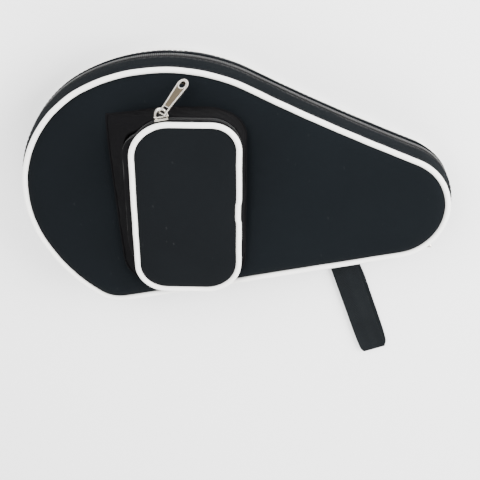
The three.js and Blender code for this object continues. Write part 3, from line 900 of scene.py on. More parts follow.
def wall_section(side, near, far, depth, lip=0.0, steps=7):
    """A band of wall from near to far of the zipper, with a folded lip at the near edge."""
    q = np.linspace(near, far, steps)
    out = wall_offset(q)
    out[0] += lip
    out[1] += lip * 0.6
    outer = np.column_stack([out, RIDGE + side * q])
    inner = np.column_stack([out - depth, RIDGE + side * q])[::-1]
    return rounded(np.vstack([outer, inner]), 0.7 * MM, 2)


def box_section(outward0, outward1, height0, height1, radius=0.25 * MM):
    corners = [(outward0, height0), (outward1, height0), (outward1, height1), (outward0, height1)]
    return rounded(corners, radius, 2)


def band(side, near, far, outward0, outward1, radius=0.3 * MM):
    return box_section(outward0, outward1, RIDGE + side * near, RIDGE + side * far, radius)


def stitches(name, run, height, place=None):
    """One row of topstitching: short threads with a gap between them."""
    t = trim()
    template = rod_template(t.stitch / 2, t.thread, 0)
    return repeat_along(name, run, t.stitch + t.stitch_gap, template, height, place)


def wall_stitches(name, run, side, from_ridge, body):
    """A row of topstitching on the wall, just clear of its cloth."""
    row = stitches(name, run.moved(float(wall_offset(from_ridge)) + 0.12 * MM), RIDGE + side * from_ridge)
    ride(row, "thread", body, "thread")


# ---- Padded panels ----

PAD_GRID = 4.0 * MM
SPINE_STEP = 6.0 * MM
CLOTH_QUALITY = 4
CLOTH_PRESSURE = 4
CLOTH_FRAMES = 20


def spine_grid(loop, first, last, rings=16):
    """A sheet inside a loop: rings that shrink from the rim to a line through its middle."""
    first, last = np.asarray(first, float), np.asarray(last, float)
    line = last - first
    share = np.clip((loop.points - first) @ line / (line @ line), 0, 1)
    knots = round(np.linalg.norm(line) / SPINE_STEP)
    middle = first + np.round(share * knots)[:, None] / knots * line
    steps = 1 - (1 - np.linspace(0, 1, rings + 1)) ** 1.25
    rows = [loop.points + (middle - loop.points) * t for t in steps]
    verts = np.vstack(rows)
    count = len(loop.points)
    return np.column_stack([verts, np.zeros(len(verts))]), ring_faces(rings, count)


def rim_distance(points, loop):
    tree = kdtree.KDTree(len(loop.points))
    for i, (x, y) in enumerate(loop.points):
        tree.insert((x, y, 0), i)
    tree.balance()
    return np.array([tree.find((x, y, 0))[2] for x, y in points])


def inflate(obj, rim, crown):
    """Cloth pressure on a sheet held at its rim, scaled so that its middle rises by crown."""
    flat = coordinates(obj)
    held = obj.vertex_groups.new(name="Held")
    held.add([int(i) for i in np.flatnonzero(rim < 0.5 * MM)], 1.0, "REPLACE")
    cloth = obj.modifiers.new("Cloth", "CLOTH")
    cloth.settings.vertex_group_mass = held.name
    cloth.settings.quality = CLOTH_QUALITY
    cloth.settings.use_pressure = True
    cloth.settings.uniform_pressure_force = CLOTH_PRESSURE
    cloth.settings.effector_weights.gravity = 0
    cloth.point_cache.frame_start = 1
    cloth.point_cache.frame_end = CLOTH_FRAMES
    for step in range(1, CLOTH_FRAMES + 1):
        bpy.context.scene.frame_set(step)
    select_only(obj)
    bpy.ops.object.modifier_apply(modifier=cloth.name)
    bpy.context.scene.frame_set(1)
    rise = np.abs(coordinates(obj)[:, 2] - flat[:, 2])
    rise /= max(rise.max(), 1e-6)
    obj.vertex_groups.clear()
    flat[:, 2] += rise * crown
    set_coordinates(obj, flat)


def cushion(name, loop, line, edge, crown, depth, pucker):
    """A padded panel inside a loop: its rim dips into the seam, and its face is crowned."""
    verts, faces = spine_grid(loop, *line)
    obj = new_object(name, verts, faces)
    select_only(obj)
    edit_all((bpy.ops.mesh.remove_doubles, {"threshold": 0.05 * MM}))
    rim = rim_distance(coordinates(obj)[:, :2], loop)
    inflate(obj, rim, crown)
    rows = coordinates(obj)
    rows[:, 2] += edge * (1 - np.exp(-rim / (2.6 * MM)))
    gather = np.exp(-rim / (7 * MM)) * (1 - np.exp(-rim / (1.2 * MM)))
    for i, row in enumerate(rows):
        angle = math.atan2(row[1], row[0])
        rows[i, 2] += pucker * gather[i] * noise.noise((angle * 26, rim[i] / (16 * MM), 2.0))
        rows[i, 2] += pucker * 0.9 * min(1, rim[i] / (12 * MM)) * noise.noise(Vector(row) / (34 * MM))
    set_coordinates(obj, rows)
    apply_modifier(obj, "SOLIDIFY", thickness=depth, offset=-1)
    apply_modifier(obj, "SUBSURF", levels=1, render_levels=1)
    return obj


def face_down(obj):
    """Flips a pad that was made face up, so that its face looks down."""
    obj.data.transform(Matrix.Scale(-1, 4, (0, 0, 1)))
    obj.data.flip_normals()
    return obj


def case_line():
    """The line through the middle of the case's outline."""
    s = shape()
    return (-30 * MM, -4 * MM), (s.tip_x - 8 * MM, s.hinge_y + s.tip_radius + 3 * MM)


def sit_under_pocket(obj):
    """Presses the front panel flat where the pocket is sewn on, with a soft edge outside it."""
    foot, _ = pocket_wall_run(POCKET_OUTER, 0.0)
    yaw = pocket_yaw()
    outline = Run([(yaw @ Vector(p)).to_2d() for p in foot], np.zeros((len(foot), 2)), closed=True)
    rows = coordinates(obj)
    near = rim_distance(rows[:, :2], outline)
    local = np.array([yaw.inverted() @ Vector(row) for row in rows])
    inside = points_inside(local[:, :2], foot[:, :2])
    room = np.where(inside, 0, 1 - np.exp(-near / (9 * MM)))
    limit = FRONT_FACE - 0.1 * MM + room * 6 * MM
    top = rows[:, 2] > FRONT_SEAM
    rows[top, 2] = np.minimum(rows[top, 2], limit[top])
    set_coordinates(obj, rows)


def points_inside(points, polygon):
    """Whether each plan point lies inside a closed outline, by counting crossings."""
    x, y = points.T
    inside = np.zeros(len(points), bool)
    for (x0, y0), (x1, y1) in zip(polygon, np.roll(polygon, -1, 0)):
        crosses = (y0 > y) != (y1 > y)
        where = x0 + (y - y0) / np.where(crosses, y1 - y0, 1) * (x1 - x0)
        inside ^= crosses & (x < where)
    return inside


def shell_panel(label, side, body):
    loop = even(whole_run(), PAD_GRID).moved(-1.2 * MM)
    seam = FRONT_SEAM if side > 0 else -BACK_SEAM
    rise = FRONT_FACE - FRONT_SEAM if side > 0 else BACK_SEAM
    crown = 1.6 * MM if side > 0 else 0.0
    edge = rise + 0.6 * MM if side > 0 else rise
    obj = cushion(f"{label}_panel_pad", loop, case_line(), edge, crown, 2.6 * MM, 0.35 * MM)
    obj.data.transform(Matrix.Translation((0, 0, seam)))
    if side < 0:
        face_down(obj)
        rows = coordinates(obj)
        rows[:, 2] = np.maximum(rows[:, 2], 0.0)
        set_coordinates(obj, rows)
    else:
        sit_under_pocket(obj)
    smooth(obj)
    ride(obj, "shell", body, "shell_fabric", f"{label}_panel")


# ---- Shell ----


def piping(name, run, height, wander, place=None, step=None):
    """A sewn-in cord in a coated cover, not quite straight and not quite round."""
    radius = shape().piping
    along = run.along[: len(run.points)]
    ring = circle(radius, 0, 0, 18)
    sections = []
    for distance in along:
        drift = wander * noise.noise((distance / (14 * MM), 1.7, 0.4))
        lift = wander * noise.noise((distance / (19 * MM), 7.7, 3.4))
        swell = 1 + 0.035 * noise.noise((distance / (6 * MM), 4.1, 9.2))
        shift = step(distance) if step else 0.0
        sections.append(ring * swell + (drift + shift, height + lift))
    return sweep(name, run, np.array(sections), place)


def gusset(side, label, body):
    run = zip_run().stretch(0.3 * MM, zip_run().length - 0.3 * MM)
    near = 5.1 * MM
    far = HALF_DEPTH - shape().piping * 0.45
    obj = sweep(f"{label}_gusset_cloth", run, wall_section(side, near, far, 2.4 * MM, 0.15 * MM))
    ripple(obj, 16 * MM, 0.5 * MM, seed=side)
    ride(obj, "side", body, "shell_fabric", f"{label}_gusset")
    for name, q in (("fold", near + 1.7 * MM), ("seam", far - 2.6 * MM)):
        wall_stitches(f"{label}_gusset_{name}_stitch", run, side, q, body)


def zipper_half(side, label, body):
    t = trim()
    around = zip_run()
    bulge = shape().bulge
    run = around.stretch(0.3 * MM, around.length - 0.3 * MM)
    section = band(side, 0.35 * MM, 5.9 * MM, bulge - 2.3 * MM, bulge - 1.35 * MM)
    tape = sweep(f"zipper_tape_{label}_web", run, section)
    ripple(tape, 20 * MM, 0.15 * MM)
    ride(tape, "tape", body, "zipper_tape", f"zipper_tape_{label}")
    coil_run = around.stretch(3.7 * MM, around.length - 3.7 * MM, 1.5 * MM)
    tooth = rod_template(0.82 * MM, (0.5 * MM, 0.8 * MM), 2)
    crest, height = coil_run.moved(bulge - 0.85 * MM), RIDGE + side * 0.98 * MM
    teeth = repeat_along(f"zipper_coil_{label}_teeth", crest, t.tooth_pitch, tooth, height)
    ride(teeth, "coil", body, "zipper_coil", f"zipper_coil_{label}")
    row = stitches(f"zipper_tape_{label}_stitch", coil_run.moved(bulge - 1.3 * MM), RIDGE + side * 2.3 * MM)
    ride(row, "thread", body, "thread")


def binding(side, label, body):
    run = zip_run().stretch(0.3 * MM, zip_run().length - 0.3 * MM)
    far = HALF_DEPTH - shape().piping - 0.3 * MM
    section = wall_section(side, far - 4 * MM, far, 0.85 * MM, steps=4) - (2.8 * MM, 0)
    obj = sweep(f"seam_binding_{label}_tape", run, section)
    ripple(obj, 7 * MM, 0.25 * MM, seed=side)
    ride(obj, "binding", body, "binding", f"seam_binding_{label}")


def hinge_cloth():
    """The fabric hinge: one piece from the back seam to the front seam, bowed out at the zipper's height."""
    run = hinge_run()
    inset = shape().piping * 0.45
    q = np.linspace(-HALF_DEPTH + inset, HALF_DEPTH - inset, 19)
    crease = 0.5 * MM * np.exp(-((q / (1.5 * MM)) ** 2))
    out = shape().bulge * (1 - (q / HALF_DEPTH) ** 2) - crease
    outer = np.column_stack([out, RIDGE + q])
    inner = np.column_stack([out - 1.6 * MM, RIDGE + q])[::-1]
    obj = sweep("hinge_gusset_cloth", run, np.vstack([outer, inner]))
    ripple(obj, 13 * MM, 0.35 * MM, seed=4)
    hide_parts("hinge_gusset_rear", "hinge_gusset_front")
    dress(obj, "side")
    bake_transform(obj)
    for label, side, body in (("rear", -1, "root"), ("front", 1, "lid")):
        wall_stitches(f"hinge_{label}_stitch", run, side, HALF_DEPTH - 4.2 * MM, body)


def thin_lining(name, loop, line, top, place, node, body):
    """Smooth lining cloth, stretched over the inside of a panel."""
    verts, faces = spine_grid(loop, *line, rings=10)
    obj = new_object(name, verts + (0, 0, top), faces)
    outward_faces(obj)
    ripple(obj, 24 * MM, 0.25 * MM, direction=(0, 0, 1))
    apply_modifier(obj, "SOLIDIFY", thickness=0.6 * MM, offset=-1)
    obj.data.transform(place)
    smooth(obj)
    ride(obj, "lining", body, "lining", node)


# ---- Pocket ----

STRIP_TOP = -1.2 * MM
STRIP_BOTTOM = -3.75 * MM
ZIP_SPLIT = -5.05 * MM


def pocket_joint_step(distance):
    """The piping's overlap on the right side: both ends dive inwards for a short stretch."""
    from_joint = distance - pocket_joint_place()
    half, ramp = 7.5 * MM, 0.7 * MM
    edge = np.clip((half - abs(from_joint)) / ramp + 0.5, 0, 1)
    return float(-0.55 * MM * edge * edge * (3 - 2 * edge))


def pocket_joint_place():
    return -pocket_hinge_y()


def fold_depth(along, level, corner):
    """How far the pocket's side cloth folds outwards, from its place and its height up the wall."""
    place = along / MM
    middle = math.sin(math.pi * min(1, max(0, level))) ** 0.8
    broad = noise.noise((place / 26, level * 0.9, 3.3))
    slanted = noise.noise(((place + 16 * level) / 7.5, level * 1.1, 8.1))
    fine = noise.noise((place / 3.6, level * 2.2, 1.4))
    low = math.exp(-(((level - 0.22) / 0.22) ** 2))
    near_corner = math.exp(-(((place - corner / MM) / 16) ** 2))
    puckers = low * near_corner * (0.9 * math.sin(place * 0.95) + 0.8 * slanted)
    return (middle * (0.5 + 1.2 * broad + 0.9 * slanted + 0.3 * fine) + puckers) * MM


def pocket_wall():
    """The pocket's lower side: cloth that falls from the zipper and spreads to its sewn foot."""
    levels = 26
    rings = []
    for i in range(levels + 1):
        level = i / levels
        rows, run = pocket_wall_run(POCKET_OUTER, level)
        corner = run.length * FOOT_CORNER_SHARE
        fall = np.array([fold_depth(d, level, corner) for d in run.along[: len(rows)]])
        rows[:, :2] += run.outward * fall[:, None]
        rings.append(rows)
    count = len(rings[0])
    verts = np.vstack(rings)
    faces, uvs = ring_faces(levels, count), []
    for i in range(levels):
        for j in range(count):
            low, high = verts[i * count + j][2], verts[(i + 1) * count + j][2]
            u0, u1 = run.along[j], run.along[j + 1]
            uvs += [(u0, low), (u1, low), (u1, high), (u0, high)]
    obj = new_object("pocket_gusset_cloth", verts, faces, uvs)
    obj.data.transform(pocket_yaw())
    apply_modifier(obj, "SOLIDIFY", thickness=1.3 * MM, offset=-1)
    smooth(obj)
    ride(obj, "pocket_side", "lid", "pocket_fabric", "pocket_gusset")
    foot, run = pocket_wall_run(POCKET_OUTER + 0.3 * MM, 0.0)
    base = Run(foot[:, :2], run.outward, closed=True)
    welt = sweep("pocket_foot_welt", base, circle(0.75 * MM, 0, FRONT_FACE + 0.35 * MM, 10), pocket_yaw())
    ripple(welt, 9 * MM, 0.3 * MM)
    ride(welt, "pocket_side", "lid", "pocket_fabric")
    row = stitches("pocket_foot_stitch", base.moved(1.9 * MM), FRONT_FACE + 0.2 * MM, pocket_yaw())
    ride(row, "thread", "lid", "thread")


def pocket_front():
    """The pocket's padded face, its strip of cloth, its piping and its lining."""
    s = shape()
    plane = pocket_plane()
    loop = pocket_run(3 * MM).moved(-1.2 * MM)
    reach = s.pocket_half_length - s.pocket_half_width + 4 * MM
    line = (0, -reach), (0, reach)
    face = cushion("pocket_panel_pad", loop, line, 1.2 * MM, 1.1 * MM, 1.6 * MM, 0.3 * MM)
    face.data.transform(plane)
    smooth(face)
    ride(face, "pocket", "pocket_lid", "pocket_fabric", "pocket_panel")
    inner = pocket_run(3 * MM).moved(-2.6 * MM)
    name, node, pad = "pocket_lining_cloth", "pocket_lining", "pocket_panel_pad"
    thin_lining(name, inner, line, -1.9 * MM, plane, node, "pocket_lid")
    outline = pocket_run()
    cord = piping("pocket_piping_cord", outline, 0.0, 0.22 * MM, plane, pocket_joint_step)
    ride(cord, "piping", "pocket_lid", "piping", "pocket_piping")
    strip = sweep("pocket_strip", outline, strip_sections(outline), plane)
    ripple(strip, 8 * MM, 0.4 * MM)
    ride(strip, "pocket_side", "pocket_lid", "pocket_fabric", "pocket_lid_gusset")


def strip_sections(run):
    """Cloth from under the piping down and out to the zipper, thicker where it is folded."""
    steps = np.linspace(0, 1, 7)
    sections = []
    for stand in pocket_flare(run.points):
        out = POCKET_OUTER - 0.6 * MM + (stand + 0.4 * MM) * steps**0.8
        height = STRIP_TOP + (STRIP_BOTTOM - STRIP_TOP) * steps ** (1 + stand / (3 * MM))
        upper = np.column_stack([out, height])
        lower = upper[::-1] - (1.1 * MM, 0.35 * MM)
        sections.append(rounded(np.vstack([lower, upper]), 0.3 * MM, 2))
    return np.array(sections)


def pocket_zipper():
    """Both rows of the pocket's coil, and the lower tape."""
    t = trim()
    plane = pocket_plane()
    end = pocket_zip_end()
    run = flared(pocket_run().stretch(0.4 * MM, end - 0.4 * MM))
    middle = (POCKET_INNER + POCKET_OUTER) / 2
    low_run = run.stretch(3.2 * MM, run.length - 3.2 * MM)
    tooth = rod_template(0.52 * MM, (0.45 * MM, 0.78 * MM), 2)
    for name, row, height, body in (
        ("upper", run, ZIP_SPLIT + 0.62 * MM, "pocket_lid"),
        ("lower", low_run, ZIP_SPLIT - 0.62 * MM, "lid"),
    ):
        node = f"pocket_coil_{name}"
        teeth = repeat_along(f"{node}_teeth", row.moved(middle), t.tooth_pitch, tooth, height, plane)
        ride(teeth, "coil", body, "zipper_coil", node)
    web = sweep("pocket_tape_web", run, box_section(POCKET_INNER, 1.25 * MM, -POCKET_DEEP, -6.3 * MM), plane)
    ripple(web, 14 * MM, 0.15 * MM)
    ride(web, "tape", "lid", "zipper_tape", "pocket_tape_lower")


def pocket_hinge_cloth():
    """Cloth round the pocket's low edge, where its front swings open."""
    plane = pocket_plane()
    run = pocket_run()
    rest = run.stretch(pocket_zip_end(), run.length)
    heights = np.linspace(-POCKET_DEEP, STRIP_BOTTOM + 0.2 * MM, 9)
    out = np.full(9, POCKET_OUTER) - 0.25 * MM * np.exp(-(((heights - ZIP_SPLIT) / (0.8 * MM)) ** 2))
    outer = np.column_stack([out, heights])
    inner = np.column_stack([np.full(9, POCKET_INNER), heights])[::-1]
    obj = sweep("pocket_hinge_cloth", rest, np.vstack([outer, inner]), plane)
    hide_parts("pocket_hinge_upper", "pocket_hinge_lower")
    dress(obj, "pocket_side")
    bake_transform(obj)


# ---- Sliders and pulls ----
# Slider coordinates: x along the zipper, y outwards, z across the zipper.

SLIDER_GAP = 0.45 * MM
SLIDER_PLATE = 1.4 * MM
SLIDER_HALF_WIDTH = 3.6 * MM
POCKET_SLIDER_ANGLE = math.radians(100)
MAIN_SLIDER_ANGLE = math.radians(-64)
POCKET_PULL_DIRECTION = (0.67, 0.535, -0.515)
POCKET_PULL_TWIST = math.radians(51)
MAIN_PULL_DIRECTION = (-0.51, -0.36, -0.78)
MAIN_PULL_TWIST = math.radians(-10)
CROWN_BASE = 2.15 * MM
CROWN_RISE = 5.2 * MM
CROWN_HALF = 4 * MM
TAB_SLOT_END = 3.25 * MM
TAB_LENGTH = 28 * MM
TAB_HALF_NARROW = 3 * MM
TAB_HALF_WIDE = 4.2 * MM
TAB_HOLE = 2.5 * MM


def block(size, centre, bevel, segments=3):
    """A cube primitive at its size and place, with rounded edges."""
    obj = primitive(bpy.ops.mesh.primitive_cube_add, size=1, location=centre, scale=size)
    apply_modifier(obj, "BEVEL", width=bevel, segments=segments, limit_method="ANGLE")
    return obj


def slider_plate(high, low=-SLIDER_HALF_WIDTH, half=4.5 * MM):
    """The slider's top plate: broad at its mouth, narrower at its tail, with pressed edges."""
    middle = (high + low) / 2
    obj = primitive(
        bpy.ops.mesh.primitive_cube_add,
        size=1,
        location=(0, SLIDER_GAP + SLIDER_PLATE / 2, middle),
        scale=(2 * half, SLIDER_PLATE, high - low),
    )
    edit_all((bpy.ops.mesh.subdivide, {"number_cuts": 5}))
    rows = coordinates(obj)
    along = np.clip(rows[:, 0] / half, -1, 1)
    waist = 1 - 0.2 * np.clip((along + 0.1), 0, 1) ** 1.5 - 0.12 * np.exp(-(((along + 0.1) / 0.25) ** 2))
    fixed = high if high < 1 * MM else middle
    rows[:, 2] = fixed + (rows[:, 2] - fixed) * waist
    crowned = rows[:, 1] > SLIDER_GAP + SLIDER_PLATE / 2
    rows[crowned, 1] -= 0.35 * MM * np.abs(along[crowned]) ** 3
    set_coordinates(obj, rows)
    apply_modifier(obj, "BEVEL", width=0.3 * MM, segments=3, limit_method="ANGLE")
    return obj


def crown_ring(centre_z, wire=0.75 * MM):
    """A half ring of wire, made from a torus that is stretched, then cut at its feet."""
    obj = primitive(
        bpy.ops.mesh.primitive_torus_add,
        major_radius=CROWN_HALF,
        minor_radius=wire,
        major_segments=48,
        minor_segments=14,
        location=(0, CROWN_BASE, centre_z),
    )
    foot = (0, CROWN_BASE - 0.4 * MM, 0)
    values = {"plane_co": foot, "plane_no": (0, 1, 0), "use_fill": True, "clear_inner": True}
    edit_all((bpy.ops.mesh.bisect, values))
    rows = coordinates(obj)
    rise = np.clip(rows[:, 1] - CROWN_BASE, 0, None)
    rows[:, 1] += rise * (CROWN_RISE / CROWN_HALF - 1)
    set_coordinates(obj, rows)
    return obj


def slider(name, matrix, body, high):
    """A zipper slider: plate, side flange, neck posts and the crown that the pull hangs on."""
    centre = (high - SLIDER_HALF_WIDTH) / 2
    plate = slider_plate(high)
    flange = block((8.2 * MM, 0.9 * MM, 0.8 * MM), (0, SLIDER_GAP - 0.1 * MM, -3.1 * MM), 0.2 * MM)
    ridge = block((6.6 * MM, 0.5 * MM, 1.6 * MM), (0, SLIDER_GAP + SLIDER_PLATE, centre), 0.2 * MM)
    base = join([plate, flange, ridge], f"{name}_slider_shape")
    base.data.transform(matrix)
    smooth(base, 40)
    ride(base, "nickel", body, "nickel", f"{name}_slider_body")
    feet = [
        block((1.9 * MM, 0.9 * MM, 1.9 * MM), (x, CROWN_BASE - 0.1 * MM, centre), 0.3 * MM)
        for x in (-CROWN_HALF, CROWN_HALF)
    ]
    crown = join([crown_ring(centre), *feet], f"{name}_crown_ring")
    crown.data.transform(matrix)
    smooth(crown, 50)
    ride(crown, "nickel", body, "nickel", f"{name}_slider_crown")


def tab_outline(inset=0.0):
    """The pull's outline: a narrow square end by the slot, widening to a round end."""
    narrow, wide = TAB_HALF_NARROW - inset, TAB_HALF_WIDE - inset
    centre = TAB_LENGTH - TAB_SLOT_END - TAB_HALF_WIDE
    start = -TAB_SLOT_END + inset
    points = [(start + 0.6 * MM, -narrow), (TAB_SLOT_END, -narrow), (centre, -wide)]
    for angle in np.linspace(-math.pi / 2, math.pi / 2, 17)[1:-1]:
        points.append((centre + wide * math.cos(angle), wide * math.sin(angle)))
    points += [(centre, wide), (TAB_SLOT_END, narrow), (start + 0.6 * MM, narrow)]
    points += [(start, narrow - 0.6 * MM), (start, -narrow + 0.6 * MM)]
    return points, centre


def slab(points, low, high):
    """A flat outline given a thickness."""
    count = len(points)
    verts = [(x, y, low) for x, y in points] + [(x, y, high) for x, y in points]
    faces = [tuple(range(count))[::-1], tuple(range(count, 2 * count))]
    faces += [(i, (i + 1) % count, (i + 1) % count + count, i + count) for i in range(count)]
    return new_object("slab", verts, faces)


def cut(obj, tool, operation="DIFFERENCE"):
    apply_modifier(obj, "BOOLEAN", operation=operation, object=tool, solver="EXACT")
    bpy.data.objects.remove(tool, do_unlink=True)


def rod(radius, centre, depth):
    return primitive(
        bpy.ops.mesh.primitive_cylinder_add, radius=radius, depth=depth, vertices=32, location=centre
    )


def pull_tab(name, matrix, body):
    """A flat pull: a bright raised rim round a sunk brushed face, a slot and a round hole."""
    half = 0.6 * MM
    sunk = 0.26 * MM
    outline, hole_x = tab_outline()
    tab = slab(outline, -half, half)
    inner, _ = tab_outline(0.85 * MM)
    for low, high in ((half - sunk, 2 * half), (-2 * half, sunk - half)):
        recess = slab(inner, low, high)
        cut(recess, rod(TAB_HOLE + 0.7 * MM, (hole_x, 0, 0), 8 * MM))
        cut(recess, block((5.6 * MM, 8 * MM, 8 * MM), (0.1 * MM, 0, 0), 0.01 * MM, 1))
        cut(tab, recess)
    cut(tab, rod(TAB_HOLE, (hole_x, 0, 0), 8 * MM))
    cut(tab, block((4.9 * MM, 4.4 * MM, 8 * MM), (0, 0, 0), 0.2 * MM, 2))
    sharp = math.radians(40)
    apply_modifier(tab, "BEVEL", width=0.13 * MM, segments=2, limit_method="ANGLE", angle_limit=sharp)
    tab.name = name
    dress(tab, "nickel")
    tab.data.materials.append(finish("brushed"))
    for face in tab.data.polygons:
        if abs(face.normal.z) > 0.99 and abs(face.center.z) < half - sunk / 2:
            face.material_index = 1
    tab.data.transform(matrix)
    smooth(tab, 40)
    ride(tab, None, body, "nickel", name.replace("plate", "tab"))


def tab_matrix(at, along, twist):
    """A pull's place: along its length, twisted about it."""
    x = Vector(along).normalized()
    level = Vector((-x.y, x.x, 0)).normalized()
    up = x.cross(level)
    y = level * math.cos(twist) - up * math.sin(twist)
    z = x.cross(y)
    return Matrix.Translation(at) @ Matrix((x, y, z)).transposed().to_4x4()


def crown_point(share, centre_z):
    angle = math.pi * share
    return Vector((CROWN_HALF * math.cos(angle), CROWN_BASE + CROWN_RISE * math.sin(angle), centre_z))


def pocket_slider_frame():
    s = shape()
    radius = s.pocket_high_left
    corner = (radius - s.pocket_half_width, s.pocket_half_length - radius)
    spot = polar(corner, radius + POCKET_OUTER, POCKET_SLIDER_ANGLE)
    turned = Matrix.Rotation(POCKET_SLIDER_ANGLE - math.pi / 2, 4, "Z")
    return pocket_plane() @ Matrix.Translation((*spot, ZIP_SPLIT)) @ turned


def main_slider_frame():
    s = shape()
    tip = (s.tip_x, s.hinge_y + s.tip_radius)
    spot = polar(tip, s.tip_radius + s.bulge, MAIN_SLIDER_ANGLE)
    return Matrix.Translation((*spot, RIDGE)) @ Matrix.Rotation(MAIN_SLIDER_ANGLE - math.pi / 2, 4, "Z")


# ---- Wrist strap ----

STRAP_ROOT = (121 * MM, -85.56 * MM)
STRAP_SWING = math.radians(8.4)
STRAP_LENGTH = 102 * MM
STRAP_HALF = 10 * MM
WEBBING = 1.5 * MM


def strap_frame():
    """Strap coordinates: x from the case to the fold, y across, z up."""
    return Matrix.Translation((*STRAP_ROOT, 0)) @ Matrix.Rotation(STRAP_SWING - math.pi / 2, 4, "Z")


# The webbing draws in a little where it folds.
FOLD_NARROWING = 0.14
FOLD_REACH = 5 * MM


def webbing_ribbon(name, path, skew, matrix, half=STRAP_HALF):
    """Webbing along a path (x, z) with rounded edges; skew moves each step sideways."""
    path = np.asarray(path)
    steps = np.linalg.norm(np.diff(path, axis=0), axis=1)
    along = np.concatenate([[0], np.cumsum(steps)])
    ahead = np.gradient(path, axis=0)
    ahead /= np.linalg.norm(ahead, axis=1, keepdims=True)
    side = np.column_stack([-ahead[:, 1], ahead[:, 0]])
    section = rounded(
        [(-half, -WEBBING / 2), (half, -WEBBING / 2), (half, WEBBING / 2), (-half, WEBBING / 2)], 0.6 * MM, 3
    )
    fine = []
    for a, b in zip(section, np.roll(section, -1, 0)):
        count = max(1, int(np.linalg.norm(b - a) / (1.25 * MM)))
        fine += [a + (b - a) * i / count for i in range(count)]
    section = np.array(fine)
    sides = len(section)
    verts, uvs = [], []
    for i, (x, z) in enumerate(path):
        sway = skew(i / (len(path) - 1))
        narrowing = FOLD_NARROWING * max(0.0, 1 - (path[:, 0].max() - x) / FOLD_REACH) ** 2
        for across, up in section * (1 - narrowing, 1):
            wave = 0.35 * MM * noise.noise((x / (18 * MM), across / (14 * MM), 5 + i / len(path)))
            verts.append((x + side[i][0] * up, across + sway, z + side[i][1] * up + abs(wave)))
    for i in range(len(path) - 1):
        for j in range(sides):
            k = (j + 1) % sides
            v0, v1 = section[j][0] + 20 * MM, section[k][0] + 20 * MM
            uvs += [(along[i], v0), (along[i], v1), (along[i + 1], v1), (along[i + 1], v0)]
    last = (len(path) - 1) * sides
    faces = ring_faces(len(path) - 1, sides)
    faces += [tuple(range(sides)), tuple(range(last, last + sides))]
    uvs += [(0, 0)] * (2 * sides)
    obj = new_object(name, verts, faces, uvs)
    return placed(obj, matrix, 50)


def strap_path(spacing=1.6 * MM):
    """Down the lower layer, round the fold and back along the upper layer."""
    low, high = WEBBING / 2, WEBBING * 1.5 + 0.5 * MM
    radius = (high - low) / 2
    fold = STRAP_LENGTH - WEBBING / 2 - radius
    straight_part = np.arange(0, fold, spacing)
    lower = [(x, low) for x in straight_part]
    turn_part = [
        (fold + radius * math.cos(a), low + radius + radius * math.sin(a))
        for a in np.linspace(-math.pi / 2, math.pi / 2, 9)
    ]
    upper = [(x, high) for x in straight_part[::-1]]
    return lower + turn_part + upper


def wrist_strap():
    matrix = strap_frame()

    def skew(share):
        """The layer underneath lies a little to one side of the layer on top."""
        blend_out = np.clip((0.62 - share) / 0.24, 0, 1)
        start = np.clip(share / 0.16, 0, 1)
        return 2.6 * MM * blend_out * blend_out * (3 - 2 * blend_out) * start

    loop = webbing_ribbon("wrist_strap_webbing", strap_path(), skew, matrix)
    ride(loop, "webbing", "strap", "webbing", "wrist_strap")
    x0, x1 = -2.6 * MM, 1.2 * MM
    neck_path = [(x0 + (x1 - x0) * t, 1.75 * MM + 0.9 * MM * (1 - t) ** 2) for t in np.linspace(0, 1, 9)]
    neck = webbing_ribbon("strap_neck_webbing", neck_path, lambda share: 0.0, matrix, STRAP_HALF - 0.3 * MM)
    dress(neck, "webbing")
    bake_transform(neck)
    across = straight((0, -9 * MM), (0, 9 * MM), (1, 0), 0.7 * MM)
    bars = []
    for name, place, half in (("bartack_rows", 7 * MM, 1.5 * MM), ("bartack_ends", 7 * MM, 1.1 * MM)):
        run = across.moved(place)
        template = rod_template(half, 0.26 * MM, 1)
        bars.append(repeat_along(name, run, 0.62 * MM, template, WEBBING * 2 + 0.65 * MM, matrix))
    tack = join(bars, "strap_bartack_thread")
    ride(tack, "thread", "strap", "thread", "strap_bartack")


# ---- Stage ----
# Places and sizes of the lights and the floor are in metres, and powers in watts.

LIGHTS = (
    ("Key", (-0.35, 0.75, 0.95), (0.9, 0.9), 24),
    ("Fill", (0.85, 0.1, 0.6), (0.7, 0.7), 26),
    ("Front", (0.1, -0.9, 0.7), (1.0, 0.6), 10),
)
LIGHT_TARGET = (60 * MM, -30 * MM, 30 * MM)
WORLD_STRENGTH = 1.7
FLOOR_SIZE = 8
FLOOR_HEIGHT = -0.0002
CAMERA_PLACE = (134.966 * MM, 292.943 * MM, 674.450 * MM)
CAMERA_RIGHT = (0.98113413, -0.19231606, -0.0197573)
CAMERA_UP = (0.15892088, 0.86049048, -0.48404576)
CAMERA_LENS = 76.4


def set_camera():
    data = bpy.data.cameras.new("Camera")
    data.lens = CAMERA_LENS
    data.sensor_width = 36
    data.clip_start = 0.01
    camera = bpy.data.objects.new("Camera", data)
    right, up = Vector(CAMERA_RIGHT).normalized(), Vector(CAMERA_UP)
    back = right.cross(up).normalized()
    up = back.cross(right)
    camera.matrix_world = Matrix.Translation(CAMERA_PLACE) @ Matrix((right, up, back)).transposed().to_4x4()
    bpy.context.scene.collection.objects.link(camera)
    bpy.context.scene.camera = camera


def area_light(name, place, target, size, power):
    data = bpy.data.lights.new(name, "AREA")
    data.shape = "RECTANGLE"
    data.size, data.size_y = size
    data.energy = power
    light = bpy.data.objects.new(name, data)
    light.location = place
    light.rotation_euler = (Vector(target) - Vector(place)).to_track_quat("-Z", "Y").to_euler()
    bpy.context.scene.collection.objects.link(light)


